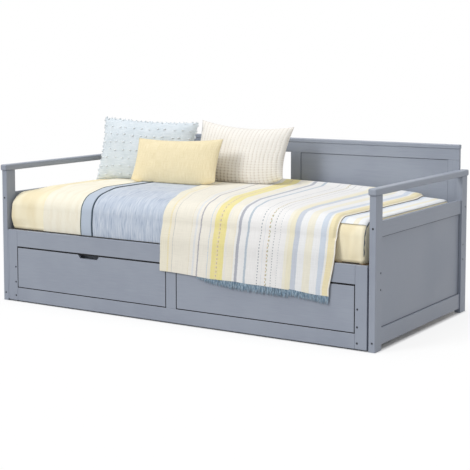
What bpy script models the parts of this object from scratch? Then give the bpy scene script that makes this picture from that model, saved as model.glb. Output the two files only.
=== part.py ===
# A storage daybed: fixed end frames and back, a pull-out front frame with two
# drawers, two sets of slats that pass between each other, and its bedding.
# Metres, +Z up, +X along the length, the front faces -Y. The origin is on the
# floor, under the middle of the bed.
import math

import bmesh
import bpy
from mathutils import Matrix, Vector

# Overall sizes
BED_LENGTH = 2.080
BED_DEPTH = 1.000
TOUCH_GAP = 0.0003
EDGE_ROUND = 0.0015
SOFT_EDGE_ROUND = 0.0070
CUT_OVERRUN = 0.002

# End frames
POST_WIDTH = 0.030
POST_DEPTH = 0.063
ARM_UNDERSIDE = 0.6595
ARM_THICKNESS = 0.030
ARM_END_OVERHANG = 0.009
ARM_OUTER_OVERHANG = 0.005
ARM_INNER_OVERHANG = 0.005
END_RAIL_THICKNESS = 0.018
END_RAIL_SETBACK = 0.005
END_UPPER_RAIL_BOTTOM = 0.481
END_UPPER_RAIL_HEIGHT = 0.066
END_LOWER_RAIL_BOTTOM = 0.022
END_LOWER_RAIL_HEIGHT = 0.071
END_PANEL_THICKNESS = 0.009
END_PANEL_SETBACK = 0.014

# Fixed beams and slats
BEAM_THICKNESS = 0.020
BEAM_BOTTOM = 0.2395
BEAM_HEIGHT = 0.105
FIXED_SLAT_THICKNESS = 0.018
MOVING_SLAT_THICKNESS = 0.014
SLAT_WIDTH = 0.060
SLAT_HOUSING = 0.003
SLAT_RUN_GAP = 0.001
FIXED_SLAT_COUNT = 13
END_SLAT_INSET = 0.070
SLAT_BATTEN_HEIGHT = 0.016
SLAT_BATTEN_THICKNESS = 0.020
SLAT_BAR_THICKNESS = 0.020
SLAT_BAR_HEIGHT = 0.025

# Back
BACK_SETBACK = 0.012
BACK_THICKNESS = 0.018
BACK_STILE_WIDTH = 0.058
BACK_TOP_RAIL_BOTTOM = 0.735
BACK_TOP_RAIL_HEIGHT = 0.053
BACK_CAP_THICKNESS = 0.021
BACK_CAP_OVERHANG = 0.004
BACK_CAP_END_OVERHANG = 0.002
BACK_CENTRE_GAP = 0.157
BACK_BOTTOM_RAIL_HEIGHT = 0.060
BACK_PANEL_THICKNESS = 0.009
BACK_PANEL_SETBACK = 0.005

# Pull-out front frame
FRAME_SIDE_GAP = 0.008
FRAME_THICKNESS = 0.018
FRAME_FLOOR_GAP = 0.006
FRAME_TOP = 0.3635
FRAME_STILE_WIDTH = 0.056
FRAME_TOP_RAIL_HEIGHT = 0.0825
FRAME_BOTTOM_RAIL_HEIGHT = 0.0655
FRAME_SIDE_INSET = 0.002
FRAME_SIDE_HEIGHT = 0.226
FRAME_SIDE_DEPTH = 0.455
FRAME_REAR_BOARD_HEIGHT = 0.104
FRAME_LEDGER_GAP = 0.003
GLIDE_WIDTH = 0.012
GLIDE_END_INSET = 0.010

# Drawers
DRAWER_SIDE_GAP = 0.004
DRAWER_BOTTOM_GAP = 0.004
DRAWER_TOP_GAP = 0.0075
DRAWER_FRONT_THICKNESS = 0.016
DRAWER_BOARD_THICKNESS = 0.014
DRAWER_BOX_LIFT = 0.008
DRAWER_BOX_HEIGHT = 0.140
DRAWER_REAR_GAP = 0.055
DRAWER_BOTTOM_THICKNESS = 0.006
DRAWER_BOTTOM_LIFT = 0.010
FINGER_CUT_TOP_WIDTH = 0.129
FINGER_CUT_BOTTOM_WIDTH = 0.104
FINGER_CUT_DEPTH = 0.017
RUNNER_HEIGHT = 0.0174
RUNNER_REAR_SETBACK = 0.010
RUNNER_GROOVE_DEPTH = 0.0065

# Bolts
COUNTERBORE_RADIUS = 0.0052
COUNTERBORE_DEPTH = 0.0055
BOLT_HOLE_RADIUS = 0.0034
BOLT_REACH = 0.032
BOLT_SIDES = 10
POST_BOLT_HEIGHTS = (0.039, 0.521)
BEAM_BOLT_HEIGHTS = (0.259, 0.330)
BACK_BOLT_HEIGHT = 0.511
FRAME_BOLT_HEIGHTS = (0.031, 0.100, 0.176)

# Mattress and its covers
MATTRESS_LEFT_GAP = 0.009
MATTRESS_RIGHT_GAP = 0.033
MATTRESS_SETBACK = 0.028
MATTRESS_REAR_GAP = 0.024
MATTRESS_EDGE_TOP = 0.546
MATTRESS_CROWN = 0.029
MATTRESS_REAR_RISE = 0.012
MATTRESS_SIDE_BULGE = 0.004
MATTRESS_TOP_RADIUS = 0.075
MATTRESS_REAR_RADIUS = 0.035
MATTRESS_BOTTOM_RADIUS = 0.015
MATTRESS_END_RADIUS = 0.020
MATTRESS_CROWN_RUN = 0.125
MATTRESS_REAR_RISE_RUN = 0.080
QUILT_THICKNESS = 0.006
QUILT_LEFT_INSET = 0.211
QUILT_RIGHT_INSET = 0.132
BLANKET_THICKNESS = 0.005
BLANKET_LEFT_INSET = 0.456
BLANKET_RIGHT_INSET = 0.142

# The crown along the bed: share of the length, of the crown, of the rear rise
CROWN_PROFILE = (
    (0.000, 0.00, 0.0),
    (0.026, 0.46, 0.2),
    (0.051, 0.85, 0.5),
    (0.102, 1.00, 0.9),
    (0.279, 1.00, 1.0),
    (0.506, 0.93, 1.0),
    (0.632, 0.83, 1.0),
    (0.708, 0.65, 1.1),
    (0.840, 0.29, 1.2),
    (0.910, 0.07, 0.9),
    (0.948, -0.10, 0.5),
    (1.000, -0.10, 0.0),
)

# Throw
THROW_THICKNESS = 0.005
THROW_WIDTH = 0.929
THROW_LEFT_SLANT = 0.300
THROW_RIGHT_INSET = 0.103
THROW_HANG_TOP = 0.452
THROW_SPLIT = 0.370
THROW_DROP_DRAW_IN = 0.017
THROW_FLAP_TOP = 0.2805
THROW_FLAP_DRAW_IN = 0.036
THROW_HEM_DRAW_IN = 0.048
THROW_DRAWER_CLEARANCE = 0.0005
THROW_FLAP_BOTTOM = 0.190
THROW_HEM_HEIGHT = 0.015
THROW_FOLD_HEIGHT = 0.0012
THROW_FOLD_SPACING = 0.148

PILLOWS = {
    "blue_pillow": dict(
        width=0.563, height=0.326, thickness=0.140, from_left=0.365, from_back=0.331,
        yaw=8.8, lean=14.5, roll=-1.9, draw_in=0.014, sag=0.012,
        corner_rise=0.004, right_lift=0.0),
    "lumbar_pillow": dict(
        width=0.535, height=0.250, thickness=0.094, from_left=0.636, from_back=0.453,
        yaw=-1.6, lean=21.0, roll=1.6, draw_in=0.010, sag=0.014,
        corner_rise=0.025, right_lift=0.0),
    "woven_pillow": dict(
        width=0.545, height=0.333, thickness=0.126, from_left=0.896, from_back=0.268,
        yaw=3.3, lean=21.9, roll=-2.4, draw_in=0.018, sag=0.028,
        corner_rise=0.029, right_lift=0.030),
}
PILLOW_PRESS = 0.010
PILLOW_STEP_RUN = 0.045
PILLOW_FULLNESS = 2.8
PILLOW_EDGE = 0.62

# How finely the soft forms are divided
SIDE_STEPS = 4
CORNER_STEPS = 5
REAR_CORNER_STEPS = 3
TOP_STEPS = 10
END_STEPS = 4
HANGING_COLUMNS = 24
PILLOW_COLUMNS = 14
PILLOW_ROWS = 10

# Places that follow from the sizes
POST_OUTER = BED_LENGTH / 2
POST_INNER = POST_OUTER - POST_WIDTH
FRONT_FACE = -BED_DEPTH / 2
REAR_FACE = BED_DEPTH / 2
POST_BACK_OF_FRONT = FRONT_FACE + POST_DEPTH
POST_FRONT_OF_REAR = REAR_FACE - POST_DEPTH
END_RAIL_OUTER = POST_OUTER - END_RAIL_SETBACK
END_RAIL_INNER = END_RAIL_OUTER - END_RAIL_THICKNESS
END_PANEL_OUTER = POST_OUTER - END_PANEL_SETBACK
END_PANEL_INNER = END_PANEL_OUTER - END_PANEL_THICKNESS
BACK_REAR = REAR_FACE - BACK_SETBACK
BACK_FRONT = BACK_REAR - BACK_THICKNESS
FRAME_BACK = FRONT_FACE + FRAME_THICKNESS
LEDGER_BACK = FRAME_BACK + TOUCH_GAP + SLAT_BAR_THICKNESS
BEAM_FRONT = LEDGER_BACK + FRAME_LEDGER_GAP
BEAM_BACK = BEAM_FRONT + BEAM_THICKNESS
BEAM_TOP = BEAM_BOTTOM + BEAM_HEIGHT
REAR_RAIL_BACK = BACK_FRONT - TOUCH_GAP
REAR_RAIL_FRONT = REAR_RAIL_BACK - BEAM_THICKNESS
FIXED_SLAT_BOTTOM = BEAM_TOP - SLAT_HOUSING
FIXED_SLAT_TOP = FIXED_SLAT_BOTTOM + FIXED_SLAT_THICKNESS
MOVING_SLAT_BOTTOM = BEAM_TOP + TOUCH_GAP
MOVING_SLAT_TOP = MOVING_SLAT_BOTTOM + MOVING_SLAT_THICKNESS
SLAT_BAR_TOP = MOVING_SLAT_BOTTOM + SLAT_HOUSING
SLAT_BAR_BOTTOM = SLAT_BAR_TOP - SLAT_BAR_HEIGHT
BATTEN_BACK = REAR_RAIL_FRONT - TOUCH_GAP
BATTEN_FRONT = BATTEN_BACK - SLAT_BATTEN_THICKNESS
TAIL_BAR_BACK = BATTEN_FRONT - FRAME_LEDGER_GAP
TAIL_BAR_FRONT = TAIL_BAR_BACK - SLAT_BAR_THICKNESS
SLAT_SPACING = 2 * (POST_INNER - END_SLAT_INSET) / (FIXED_SLAT_COUNT - 1)
FRAME_OUTER = POST_INNER - FRAME_SIDE_GAP
FRAME_OPENING_OUTER = FRAME_OUTER - FRAME_STILE_WIDTH
FRAME_OPENING_INNER = FRAME_STILE_WIDTH / 2
FRAME_OPENING_TOP = FRAME_TOP - FRAME_TOP_RAIL_HEIGHT
FRAME_OPENING_BOTTOM = FRAME_FLOOR_GAP + FRAME_BOTTOM_RAIL_HEIGHT
SIDE_BOARD_INNER = FRAME_OPENING_OUTER + FRAME_SIDE_INSET
SIDE_BOARD_OUTER = SIDE_BOARD_INNER + FRAME_THICKNESS
SIDE_BOARD_FRONT = FRAME_BACK + TOUCH_GAP
SIDE_BOARD_REAR = SIDE_BOARD_FRONT + FRAME_SIDE_DEPTH
SIDE_BOARD_TOP = FRAME_FLOOR_GAP + FRAME_SIDE_HEIGHT
PARTITION_HALF = FRAME_THICKNESS / 2
DRAWER_OUTER = FRAME_OPENING_OUTER - DRAWER_SIDE_GAP
DRAWER_INNER = FRAME_OPENING_INNER + DRAWER_SIDE_GAP
DRAWER_BOTTOM = FRAME_OPENING_BOTTOM + DRAWER_BOTTOM_GAP
DRAWER_TOP = FRAME_OPENING_TOP - DRAWER_TOP_GAP
DRAWER_FRONT_BACK = FRONT_FACE + DRAWER_FRONT_THICKNESS
DRAWER_BOX_FRONT = DRAWER_FRONT_BACK + TOUCH_GAP
DRAWER_BOX_REAR = DRAWER_BOX_FRONT + FRAME_SIDE_DEPTH - DRAWER_REAR_GAP
DRAWER_BOX_BOTTOM = DRAWER_BOTTOM + DRAWER_BOX_LIFT
DRAWER_BOX_TOP = DRAWER_BOX_BOTTOM + DRAWER_BOX_HEIGHT
RUNNER_MIDDLE = (DRAWER_BOX_BOTTOM + DRAWER_BOX_TOP) / 2
MATTRESS_BOTTOM = FIXED_SLAT_TOP + TOUCH_GAP
MATTRESS_LEFT = MATTRESS_LEFT_GAP - POST_INNER
MATTRESS_RIGHT = POST_INNER - MATTRESS_RIGHT_GAP
MATTRESS_LENGTH = MATTRESS_RIGHT - MATTRESS_LEFT
MATTRESS_FRONT = FRONT_FACE + MATTRESS_SETBACK
MATTRESS_REAR = BACK_FRONT - MATTRESS_REAR_GAP
MATTRESS_DEPTH = MATTRESS_REAR - MATTRESS_FRONT
QUILT_LEFT = MATTRESS_LEFT + QUILT_LEFT_INSET
QUILT_RIGHT = MATTRESS_RIGHT - QUILT_RIGHT_INSET
BLANKET_LEFT = MATTRESS_LEFT + BLANKET_LEFT_INSET
BLANKET_RIGHT = MATTRESS_RIGHT - BLANKET_RIGHT_INSET
THROW_RIGHT = MATTRESS_RIGHT - THROW_RIGHT_INSET
THROW_LEFT = THROW_RIGHT - THROW_WIDTH
THROW_DROP_RIGHT = THROW_RIGHT - THROW_DROP_DRAW_IN
THROW_FLAP_LEFT = THROW_DRAWER_CLEARANCE - DRAWER_INNER
THROW_FLAP_RIGHT = THROW_RIGHT - THROW_FLAP_DRAW_IN
THROW_HEM_RIGHT = THROW_RIGHT - THROW_HEM_DRAW_IN
QUILT_LIFT = TOUCH_GAP
BLANKET_LIFT = QUILT_LIFT + QUILT_THICKNESS + TOUCH_GAP
THROW_LIFT = BLANKET_LIFT + BLANKET_THICKNESS + TOUCH_GAP
THROW_BACK = FRONT_FACE - TOUCH_GAP
CROWN_TOP = MATTRESS_EDGE_TOP + MATTRESS_CROWN
BLANKET_TOP = CROWN_TOP + BLANKET_LIFT + BLANKET_THICKNESS
THROW_TOP = CROWN_TOP + THROW_LIFT + THROW_THICKNESS

COLOURS = {
    "paint": ((0.330, 0.366, 0.412), 0.42),
    "slat_wood": ((0.640, 0.480, 0.300), 0.60),
    "board": ((0.560, 0.500, 0.420), 0.65),
    "steel": ((0.230, 0.240, 0.250), 0.35),
    "plastic": ((0.060, 0.060, 0.065), 0.50),
    "sheet": ((0.840, 0.780, 0.560), 0.90),
    "quilt": ((0.850, 0.820, 0.740), 0.90),
    "blanket": ((0.480, 0.550, 0.650), 0.90),
    "throw": ((0.830, 0.820, 0.760), 0.90),
    "blue_cloth": ((0.620, 0.700, 0.770), 0.90),
    "yellow_cloth": ((0.800, 0.710, 0.450), 0.90),
    "woven_cloth": ((0.800, 0.770, 0.720), 0.90),
}


def clear_scene():
    """Remove every object, so that the script can be run again."""
    for found in list(bpy.data.objects):
        bpy.data.objects.remove(found, do_unlink=True)


def material(name):
    """The Principled material of one finish, made once."""
    found = bpy.data.materials.get(name)
    if found:
        return found
    colour, roughness = COLOURS[name]
    made = bpy.data.materials.new(name)
    made.use_nodes = True
    shader = made.node_tree.nodes["Principled BSDF"]
    shader.inputs["Base Color"].default_value = (*colour, 1.0)
    shader.inputs["Roughness"].default_value = roughness
    shader.inputs["Metallic"].default_value = 1.0 if name == "steel" else 0.0
    made.diffuse_color = (*colour, 1.0)
    return made


def body(name, place):
    """An empty that carries the pieces of one moving body."""
    made = bpy.data.objects.new(name, None)
    made.location = place
    bpy.context.scene.collection.objects.link(made)
    return made


def add_object(name, mesh, place, parent, finish):
    """Link a mesh as an object at a world place, under its body."""
    made = bpy.data.objects.new(name, mesh)
    bpy.context.scene.collection.objects.link(made)
    made.parent = parent
    made.location = Vector(place) - parent.location
    made.data.materials.append(material(finish))
    return made


def mesh_from(bm, name, turn_faces=True):
    """Turn a finished bmesh into a mesh, its faces made to point out."""
    if turn_faces:
        bmesh.ops.recalc_face_normals(bm, faces=bm.faces)
    mesh = bpy.data.meshes.new(name)
    bm.to_mesh(mesh)
    bm.free()
    return mesh


def add_bevel(made, width, segments):
    """Round the edges of a board with a Bevel modifier."""
    bevel = made.modifiers.new("edge_round", "BEVEL")
    bevel.width = width
    bevel.segments = segments
    bevel.limit_method = "ANGLE"
    bevel.use_clamp_overlap = True


def box_into(bm, low, high):
    """Add one box between two corners to a bmesh."""
    low = Vector(low)
    high = Vector(high)
    size = high - low
    place = Matrix.Translation((low + high) / 2) @ Matrix.Diagonal((*size, 1.0))
    bmesh.ops.create_cube(bm, size=1.0, matrix=place)


def board(name, low, high, parent, finish="paint", width=EDGE_ROUND, segments=2):
    """A board between two world corners, its origin at its middle."""
    middle = (Vector(low) + Vector(high)) / 2
    bm = bmesh.new()
    box_into(bm, Vector(low) - middle, Vector(high) - middle)
    made = add_object(name, mesh_from(bm, name), middle, parent, finish)
    if width:
        add_bevel(made, width, segments)
    return made


def boards_into(name, corners, parent, finish):
    """An object that holds several boxes, given by their world corners."""
    bm = bmesh.new()
    for low, high in corners:
        box_into(bm, Vector(low) - parent.location, Vector(high) - parent.location)
    return add_object(name, mesh_from(bm, name), parent.location, parent, finish)


def guide(made):
    """Mark an object as one that only cuts or joins others."""
    made.hide_render = True
    made.display_type = "WIRE"
    return made


def joined_boards(name, slats, bars, parent, finish):
    """Slats let into the bars that carry them, as one solid."""
    made = boards_into(name, slats, parent, finish)
    add_bevel(made, EDGE_ROUND, 1)
    carrier = guide(boards_into(name + "_bars", bars, parent, finish))
    union = made.modifiers.new("join", "BOOLEAN")
    union.operation = "UNION"
    union.object = carrier
    return made


def mirrored(side, low, high):
    """The corners of a right-hand board, or of its twin on the left."""
    if side > 0:
        return low, high
    return (-high[0], low[1], low[2]), (-low[0], high[1], high[2])


def stepped_pin(bm, start, direction, steps):
    """A turned pin along a line: steps are (distance, radius) from the start."""
    turn = Vector((0.0, 0.0, 1.0)).rotation_difference(Vector(direction)).to_matrix()
    rings = []
    for distance, radius in steps:
        ring = []
        for index in range(BOLT_SIDES):
            angle = 2 * math.pi * index / BOLT_SIDES
            point = Vector((radius * math.cos(angle), radius * math.sin(angle), distance))
            ring.append(bm.verts.new(Vector(start) + turn @ point))
        rings.append(ring)
    bm.faces.new(list(reversed(rings[0])))
    bm.faces.new(rings[-1])
    for lower, upper in zip(rings, rings[1:]):
        for index in range(BOLT_SIDES):
            after = (index + 1) % BOLT_SIDES
            bm.faces.new((lower[index], lower[after], upper[after], upper[index]))


def bolt_cutter(name, places, parent):
    """The counterbores and holes that a group of bolts sits in.

    places holds (point on the face, direction inwards, board thickness).
    """
    bm = bmesh.new()
    for point, direction, through in places:
        steps = [
            (-CUT_OVERRUN, COUNTERBORE_RADIUS),
            (COUNTERBORE_DEPTH, COUNTERBORE_RADIUS),
            (COUNTERBORE_DEPTH, BOLT_HOLE_RADIUS),
            (through + BOLT_REACH, BOLT_HOLE_RADIUS),
        ]
        stepped_pin(bm, Vector(point) - parent.location, direction, steps)
    return guide(add_object(name, mesh_from(bm, name), parent.location, parent, "steel"))


def cut(made, cutter):
    """Cut one object out of another with a Boolean modifier."""
    boolean = made.modifiers.new("cut", "BOOLEAN")
    boolean.operation = "DIFFERENCE"
    boolean.object = cutter


def make_end(side, word, parent):
    """One end frame: two posts, the arm, two rails and the flat panel."""
    front = mirrored(side, (POST_INNER, FRONT_FACE, 0.0),
                     (POST_OUTER, POST_BACK_OF_FRONT, ARM_UNDERSIDE - TOUCH_GAP))
    rear = mirrored(side, (POST_INNER, POST_FRONT_OF_REAR, 0.0),
                    (POST_OUTER, REAR_FACE, ARM_UNDERSIDE - TOUCH_GAP))
    pieces = {
        "front_post": board(word + "_front_post", *front, parent),
        "rear_post": board(word + "_rear_post", *rear, parent),
    }
    arm = mirrored(
        side,
        (POST_INNER - ARM_INNER_OVERHANG, FRONT_FACE - ARM_END_OVERHANG, ARM_UNDERSIDE),
        (POST_OUTER + ARM_OUTER_OVERHANG, REAR_FACE + ARM_END_OVERHANG,
         ARM_UNDERSIDE + ARM_THICKNESS))
    made = board(word + "_arm", *arm, parent, width=SOFT_EDGE_ROUND, segments=3)
    notch = mirrored(
        side,
        (POST_INNER - ARM_INNER_OVERHANG - CUT_OVERRUN, BACK_FRONT - TOUCH_GAP,
         ARM_UNDERSIDE - CUT_OVERRUN),
        (POST_INNER, BACK_REAR + TOUCH_GAP, ARM_UNDERSIDE + ARM_THICKNESS + CUT_OVERRUN))
    cut(made, guide(boards_into(word + "_arm_notch", [notch], parent, "paint")))
    between = (POST_BACK_OF_FRONT + TOUCH_GAP, POST_FRONT_OF_REAR - TOUCH_GAP)
    rails = (("upper", END_UPPER_RAIL_BOTTOM, END_UPPER_RAIL_HEIGHT),
             ("lower", END_LOWER_RAIL_BOTTOM, END_LOWER_RAIL_HEIGHT))
    for level, bottom, height in rails:
        low, high = mirrored(side, (END_RAIL_INNER, between[0], bottom),
                             (END_RAIL_OUTER, between[1], bottom + height))
        pieces[level + "_rail"] = board(word + "_end_" + level + "_rail", low, high, parent)
    low, high = mirrored(
        side,
        (END_PANEL_INNER, between[0],
         END_LOWER_RAIL_BOTTOM + END_LOWER_RAIL_HEIGHT + TOUCH_GAP),
        (END_PANEL_OUTER, between[1], END_UPPER_RAIL_BOTTOM - TOUCH_GAP))
    board(word + "_end_panel", low, high, parent, segments=1)
    return pieces


def make_back(parent):
    """The back: two framed panels under one long rail and its cap."""
    outer = POST_INNER - TOUCH_GAP
    inner = BACK_CENTRE_GAP / 2
    stile_top = BACK_TOP_RAIL_BOTTOM - TOUCH_GAP
    rail_top = BACK_TOP_RAIL_BOTTOM + BACK_TOP_RAIL_HEIGHT
    cap_bottom = rail_top + TOUCH_GAP
    cap_end = POST_INNER + BACK_CAP_END_OVERHANG
    board("back_cap", (-cap_end, BACK_FRONT - BACK_CAP_OVERHANG, cap_bottom),
          (cap_end, BACK_REAR + BACK_CAP_OVERHANG, cap_bottom + BACK_CAP_THICKNESS),
          parent, width=BACK_CAP_OVERHANG, segments=2)
    board("back_top_rail", (-outer, BACK_FRONT, BACK_TOP_RAIL_BOTTOM),
          (outer, BACK_REAR, rail_top), parent)
    panel_inner = inner + BACK_STILE_WIDTH + TOUCH_GAP
    panel_outer = outer - BACK_STILE_WIDTH - TOUCH_GAP
    bottom_rail_top = BEAM_BOTTOM + BACK_BOTTOM_RAIL_HEIGHT
    board("back_bottom_rail", (-panel_outer, BACK_FRONT, BEAM_BOTTOM),
          (panel_outer, BACK_REAR, bottom_rail_top), parent)
    panel_front = BACK_FRONT + BACK_PANEL_SETBACK
    outer_stiles = {}
    for side, word in ((-1, "left"), (1, "right")):
        low, high = mirrored(side, (outer - BACK_STILE_WIDTH, BACK_FRONT, BEAM_BOTTOM),
                             (outer, BACK_REAR, stile_top))
        outer_stiles[word] = board("back_" + word + "_outer_stile", low, high, parent)
        low, high = mirrored(side, (inner, BACK_FRONT, bottom_rail_top + TOUCH_GAP),
                             (inner + BACK_STILE_WIDTH, BACK_REAR, stile_top))
        board("back_" + word + "_inner_stile", low, high, parent)
        low, high = mirrored(
            side, (panel_inner, panel_front, bottom_rail_top + TOUCH_GAP),
            (panel_outer, panel_front + BACK_PANEL_THICKNESS, stile_top))
        board("back_" + word + "_panel", low, high, parent, segments=1)
    return outer_stiles


def slats_between(count, front, rear, bottom, thickness):
    """The corners of a set of slats, evenly about the middle of the bed."""
    first = -SLAT_SPACING * (count - 1) / 2
    middles = [first + SLAT_SPACING * index for index in range(count)]
    return [((x - SLAT_WIDTH / 2, front, bottom),
             (x + SLAT_WIDTH / 2, rear, bottom + thickness)) for x in middles]


def make_fixed_bed(parent):
    """The two beams, housed for the fixed slats, and the slats on their batten."""
    end = POST_INNER - TOUCH_GAP
    beam = board("front_beam", (-end, BEAM_FRONT, BEAM_BOTTOM),
                 (end, BEAM_BACK, BEAM_TOP), parent, segments=1)
    rear = board("rear_rail", (-end, REAR_RAIL_FRONT, BEAM_BOTTOM),
                 (end, REAR_RAIL_BACK, BEAM_TOP), parent, segments=1)
    slats = slats_between(FIXED_SLAT_COUNT, BEAM_FRONT, REAR_RAIL_BACK,
                          FIXED_SLAT_BOTTOM, FIXED_SLAT_THICKNESS)
    housings = [
        ((low[0] - TOUCH_GAP, low[1] - CUT_OVERRUN, low[2] - TOUCH_GAP),
         (high[0] + TOUCH_GAP, high[1] + CUT_OVERRUN, high[2])) for low, high in slats]
    housing_cutter = guide(boards_into("slat_housings", housings, parent, "slat_wood"))
    cut(beam, housing_cutter)
    cut(rear, housing_cutter)
    batten = ((-end, BATTEN_FRONT, BEAM_TOP - SLAT_BATTEN_HEIGHT), (end, BATTEN_BACK, BEAM_TOP))
    joined_boards("fixed_slats", slats, [batten], parent, "slat_wood")
    return beam, rear


def bore_corners(ends, beam, rear, outer_stiles, parent):
    """The bolt holes of the four corners, through the posts and into the rails."""
    rail_middle = (END_RAIL_INNER + END_RAIL_OUTER) / 2
    beam_middle = (BEAM_FRONT + BEAM_BACK) / 2
    rear_middle = (REAR_RAIL_FRONT + REAR_RAIL_BACK) / 2
    back_middle = (BACK_FRONT + BACK_REAR) / 2
    for side, word in ((-1, "left"), (1, "right")):
        front = [((side * rail_middle, FRONT_FACE, z), (0, 1, 0), POST_DEPTH)
                 for z in POST_BOLT_HEIGHTS]
        front += [((side * POST_OUTER, beam_middle, z), (-side, 0, 0), POST_WIDTH)
                  for z in BEAM_BOLT_HEIGHTS]
        behind = [((side * rail_middle, REAR_FACE, z), (0, -1, 0), POST_DEPTH)
                  for z in POST_BOLT_HEIGHTS]
        behind += [((side * POST_OUTER, rear_middle, z), (-side, 0, 0), POST_WIDTH)
                   for z in BEAM_BOLT_HEIGHTS]
        behind += [((side * POST_OUTER, back_middle, BACK_BOLT_HEIGHT),
                    (-side, 0, 0), POST_WIDTH)]
        front_cutter = bolt_cutter(word + "_front_bolt_holes", front, parent)
        rear_cutter = bolt_cutter(word + "_rear_bolt_holes", behind, parent)
        pieces = ends[word]
        for made in (pieces["front_post"], pieces["upper_rail"], pieces["lower_rail"], beam):
            cut(made, front_cutter)
        for made in (pieces["rear_post"], pieces["upper_rail"], pieces["lower_rail"], rear,
                     outer_stiles[word]):
            cut(made, rear_cutter)


def make_front_frame(parent):
    """The pull-out frame: face frame, side boards, partition and rear board."""
    inner_of_stile = FRAME_OPENING_OUTER - TOUCH_GAP
    board("frame_top_rail", (-inner_of_stile, FRONT_FACE, FRAME_OPENING_TOP),
          (inner_of_stile, FRAME_BACK, FRAME_TOP), parent)
    board("frame_bottom_rail", (-inner_of_stile, FRONT_FACE, FRAME_FLOOR_GAP),
          (inner_of_stile, FRAME_BACK, FRAME_OPENING_BOTTOM), parent)
    board("frame_centre_stile",
          (-FRAME_OPENING_INNER, FRONT_FACE, FRAME_OPENING_BOTTOM + TOUCH_GAP),
          (FRAME_OPENING_INNER, FRAME_BACK, FRAME_OPENING_TOP - TOUCH_GAP), parent)
    bolt_x = (SIDE_BOARD_INNER + SIDE_BOARD_OUTER) / 2
    for side, word in ((-1, "left"), (1, "right")):
        low, high = mirrored(side, (FRAME_OPENING_OUTER, FRONT_FACE, FRAME_FLOOR_GAP),
                             (FRAME_OUTER, FRAME_BACK, FRAME_TOP))
        stile = board("frame_" + word + "_stile", low, high, parent)
        low, high = mirrored(
            side, (SIDE_BOARD_INNER, SIDE_BOARD_FRONT, FRAME_FLOOR_GAP),
            (SIDE_BOARD_OUTER, SIDE_BOARD_REAR, SIDE_BOARD_TOP))
        side_board = board("frame_" + word + "_side", low, high, parent, segments=1)
        places = [((side * bolt_x, FRONT_FACE, z), (0, 1, 0), FRAME_THICKNESS)
                  for z in FRAME_BOLT_HEIGHTS]
        cutter = bolt_cutter("frame_" + word + "_bolt_holes", places, parent)
        cut(stile, cutter)
        cut(side_board, cutter)
    rear_front = SIDE_BOARD_REAR - FRAME_THICKNESS
    board("frame_partition", (-PARTITION_HALF, SIDE_BOARD_FRONT, FRAME_FLOOR_GAP),
          (PARTITION_HALF, rear_front - TOUCH_GAP, SIDE_BOARD_TOP), parent, segments=1)
    rear_end = SIDE_BOARD_INNER - TOUCH_GAP
    board("frame_rear_board", (-rear_end, rear_front, FRAME_FLOOR_GAP),
          (rear_end, SIDE_BOARD_REAR, FRAME_FLOOR_GAP + FRAME_REAR_BOARD_HEIGHT),
          parent, segments=1)


def make_glides(parent):
    """A plastic glide strip under each end of the frame."""
    middle = (SIDE_BOARD_INNER + SIDE_BOARD_OUTER) / 2
    for side, word in ((-1, "left"), (1, "right")):
        low, high = mirrored(
            side, (middle - GLIDE_WIDTH / 2, FRONT_FACE + GLIDE_END_INSET, 0.0),
            (middle + GLIDE_WIDTH / 2, SIDE_BOARD_REAR - GLIDE_END_INSET,
             FRAME_FLOOR_GAP - TOUCH_GAP))
        board(word + "_glide", low, high, parent, "plastic", segments=1)


def make_moving_slats(parent):
    """The slats of the pull-out: a ledger in front, a tail bar near their rear.

    The tail bar is notched where the fixed slats pass over it.
    """
    slats = slats_between(FIXED_SLAT_COUNT - 1, FRAME_BACK + TOUCH_GAP, BATTEN_BACK,
                          MOVING_SLAT_BOTTOM, MOVING_SLAT_THICKNESS)
    ledger = ((-FRAME_OUTER, FRAME_BACK + TOUCH_GAP, SLAT_BAR_BOTTOM),
              (FRAME_OUTER, LEDGER_BACK, SLAT_BAR_TOP))
    tail_bar = ((-FRAME_OUTER, TAIL_BAR_FRONT, SLAT_BAR_BOTTOM),
                (FRAME_OUTER, TAIL_BAR_BACK, SLAT_BAR_TOP))
    made = joined_boards("moving_slats", slats, [ledger, tail_bar], parent, "slat_wood")
    passing = slats_between(FIXED_SLAT_COUNT, TAIL_BAR_FRONT - CUT_OVERRUN,
                            TAIL_BAR_BACK + CUT_OVERRUN, FIXED_SLAT_BOTTOM,
                            FIXED_SLAT_THICKNESS)
    notches = [((low[0] - SLAT_RUN_GAP, low[1], low[2] - SLAT_RUN_GAP),
                (high[0] + SLAT_RUN_GAP, high[1], high[2])) for low, high in passing]
    cut(made, guide(boards_into("tail_bar_notches", notches, parent, "slat_wood")))


def make_drawer_runners(parent):
    """Four runner strips, on the side boards and the partition."""
    bottom = RUNNER_MIDDLE - RUNNER_HEIGHT / 2
    top = bottom + RUNNER_HEIGHT
    rear = SIDE_BOARD_REAR - DRAWER_REAR_GAP - RUNNER_REAR_SETBACK
    outer_tip = DRAWER_OUTER - RUNNER_GROOVE_DEPTH + TOUCH_GAP
    inner_tip = DRAWER_INNER + RUNNER_GROOVE_DEPTH - TOUCH_GAP
    for side, word in ((-1, "left"), (1, "right")):
        low, high = mirrored(side, (outer_tip, SIDE_BOARD_FRONT, bottom),
                             (SIDE_BOARD_INNER - TOUCH_GAP, rear, top))
        board(word + "_outer_runner", low, high, parent, "slat_wood", segments=1)
        low, high = mirrored(side, (PARTITION_HALF + TOUCH_GAP, SIDE_BOARD_FRONT, bottom),
                             (inner_tip, rear, top))
        board(word + "_inner_runner", low, high, parent, "slat_wood", segments=1)


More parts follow.
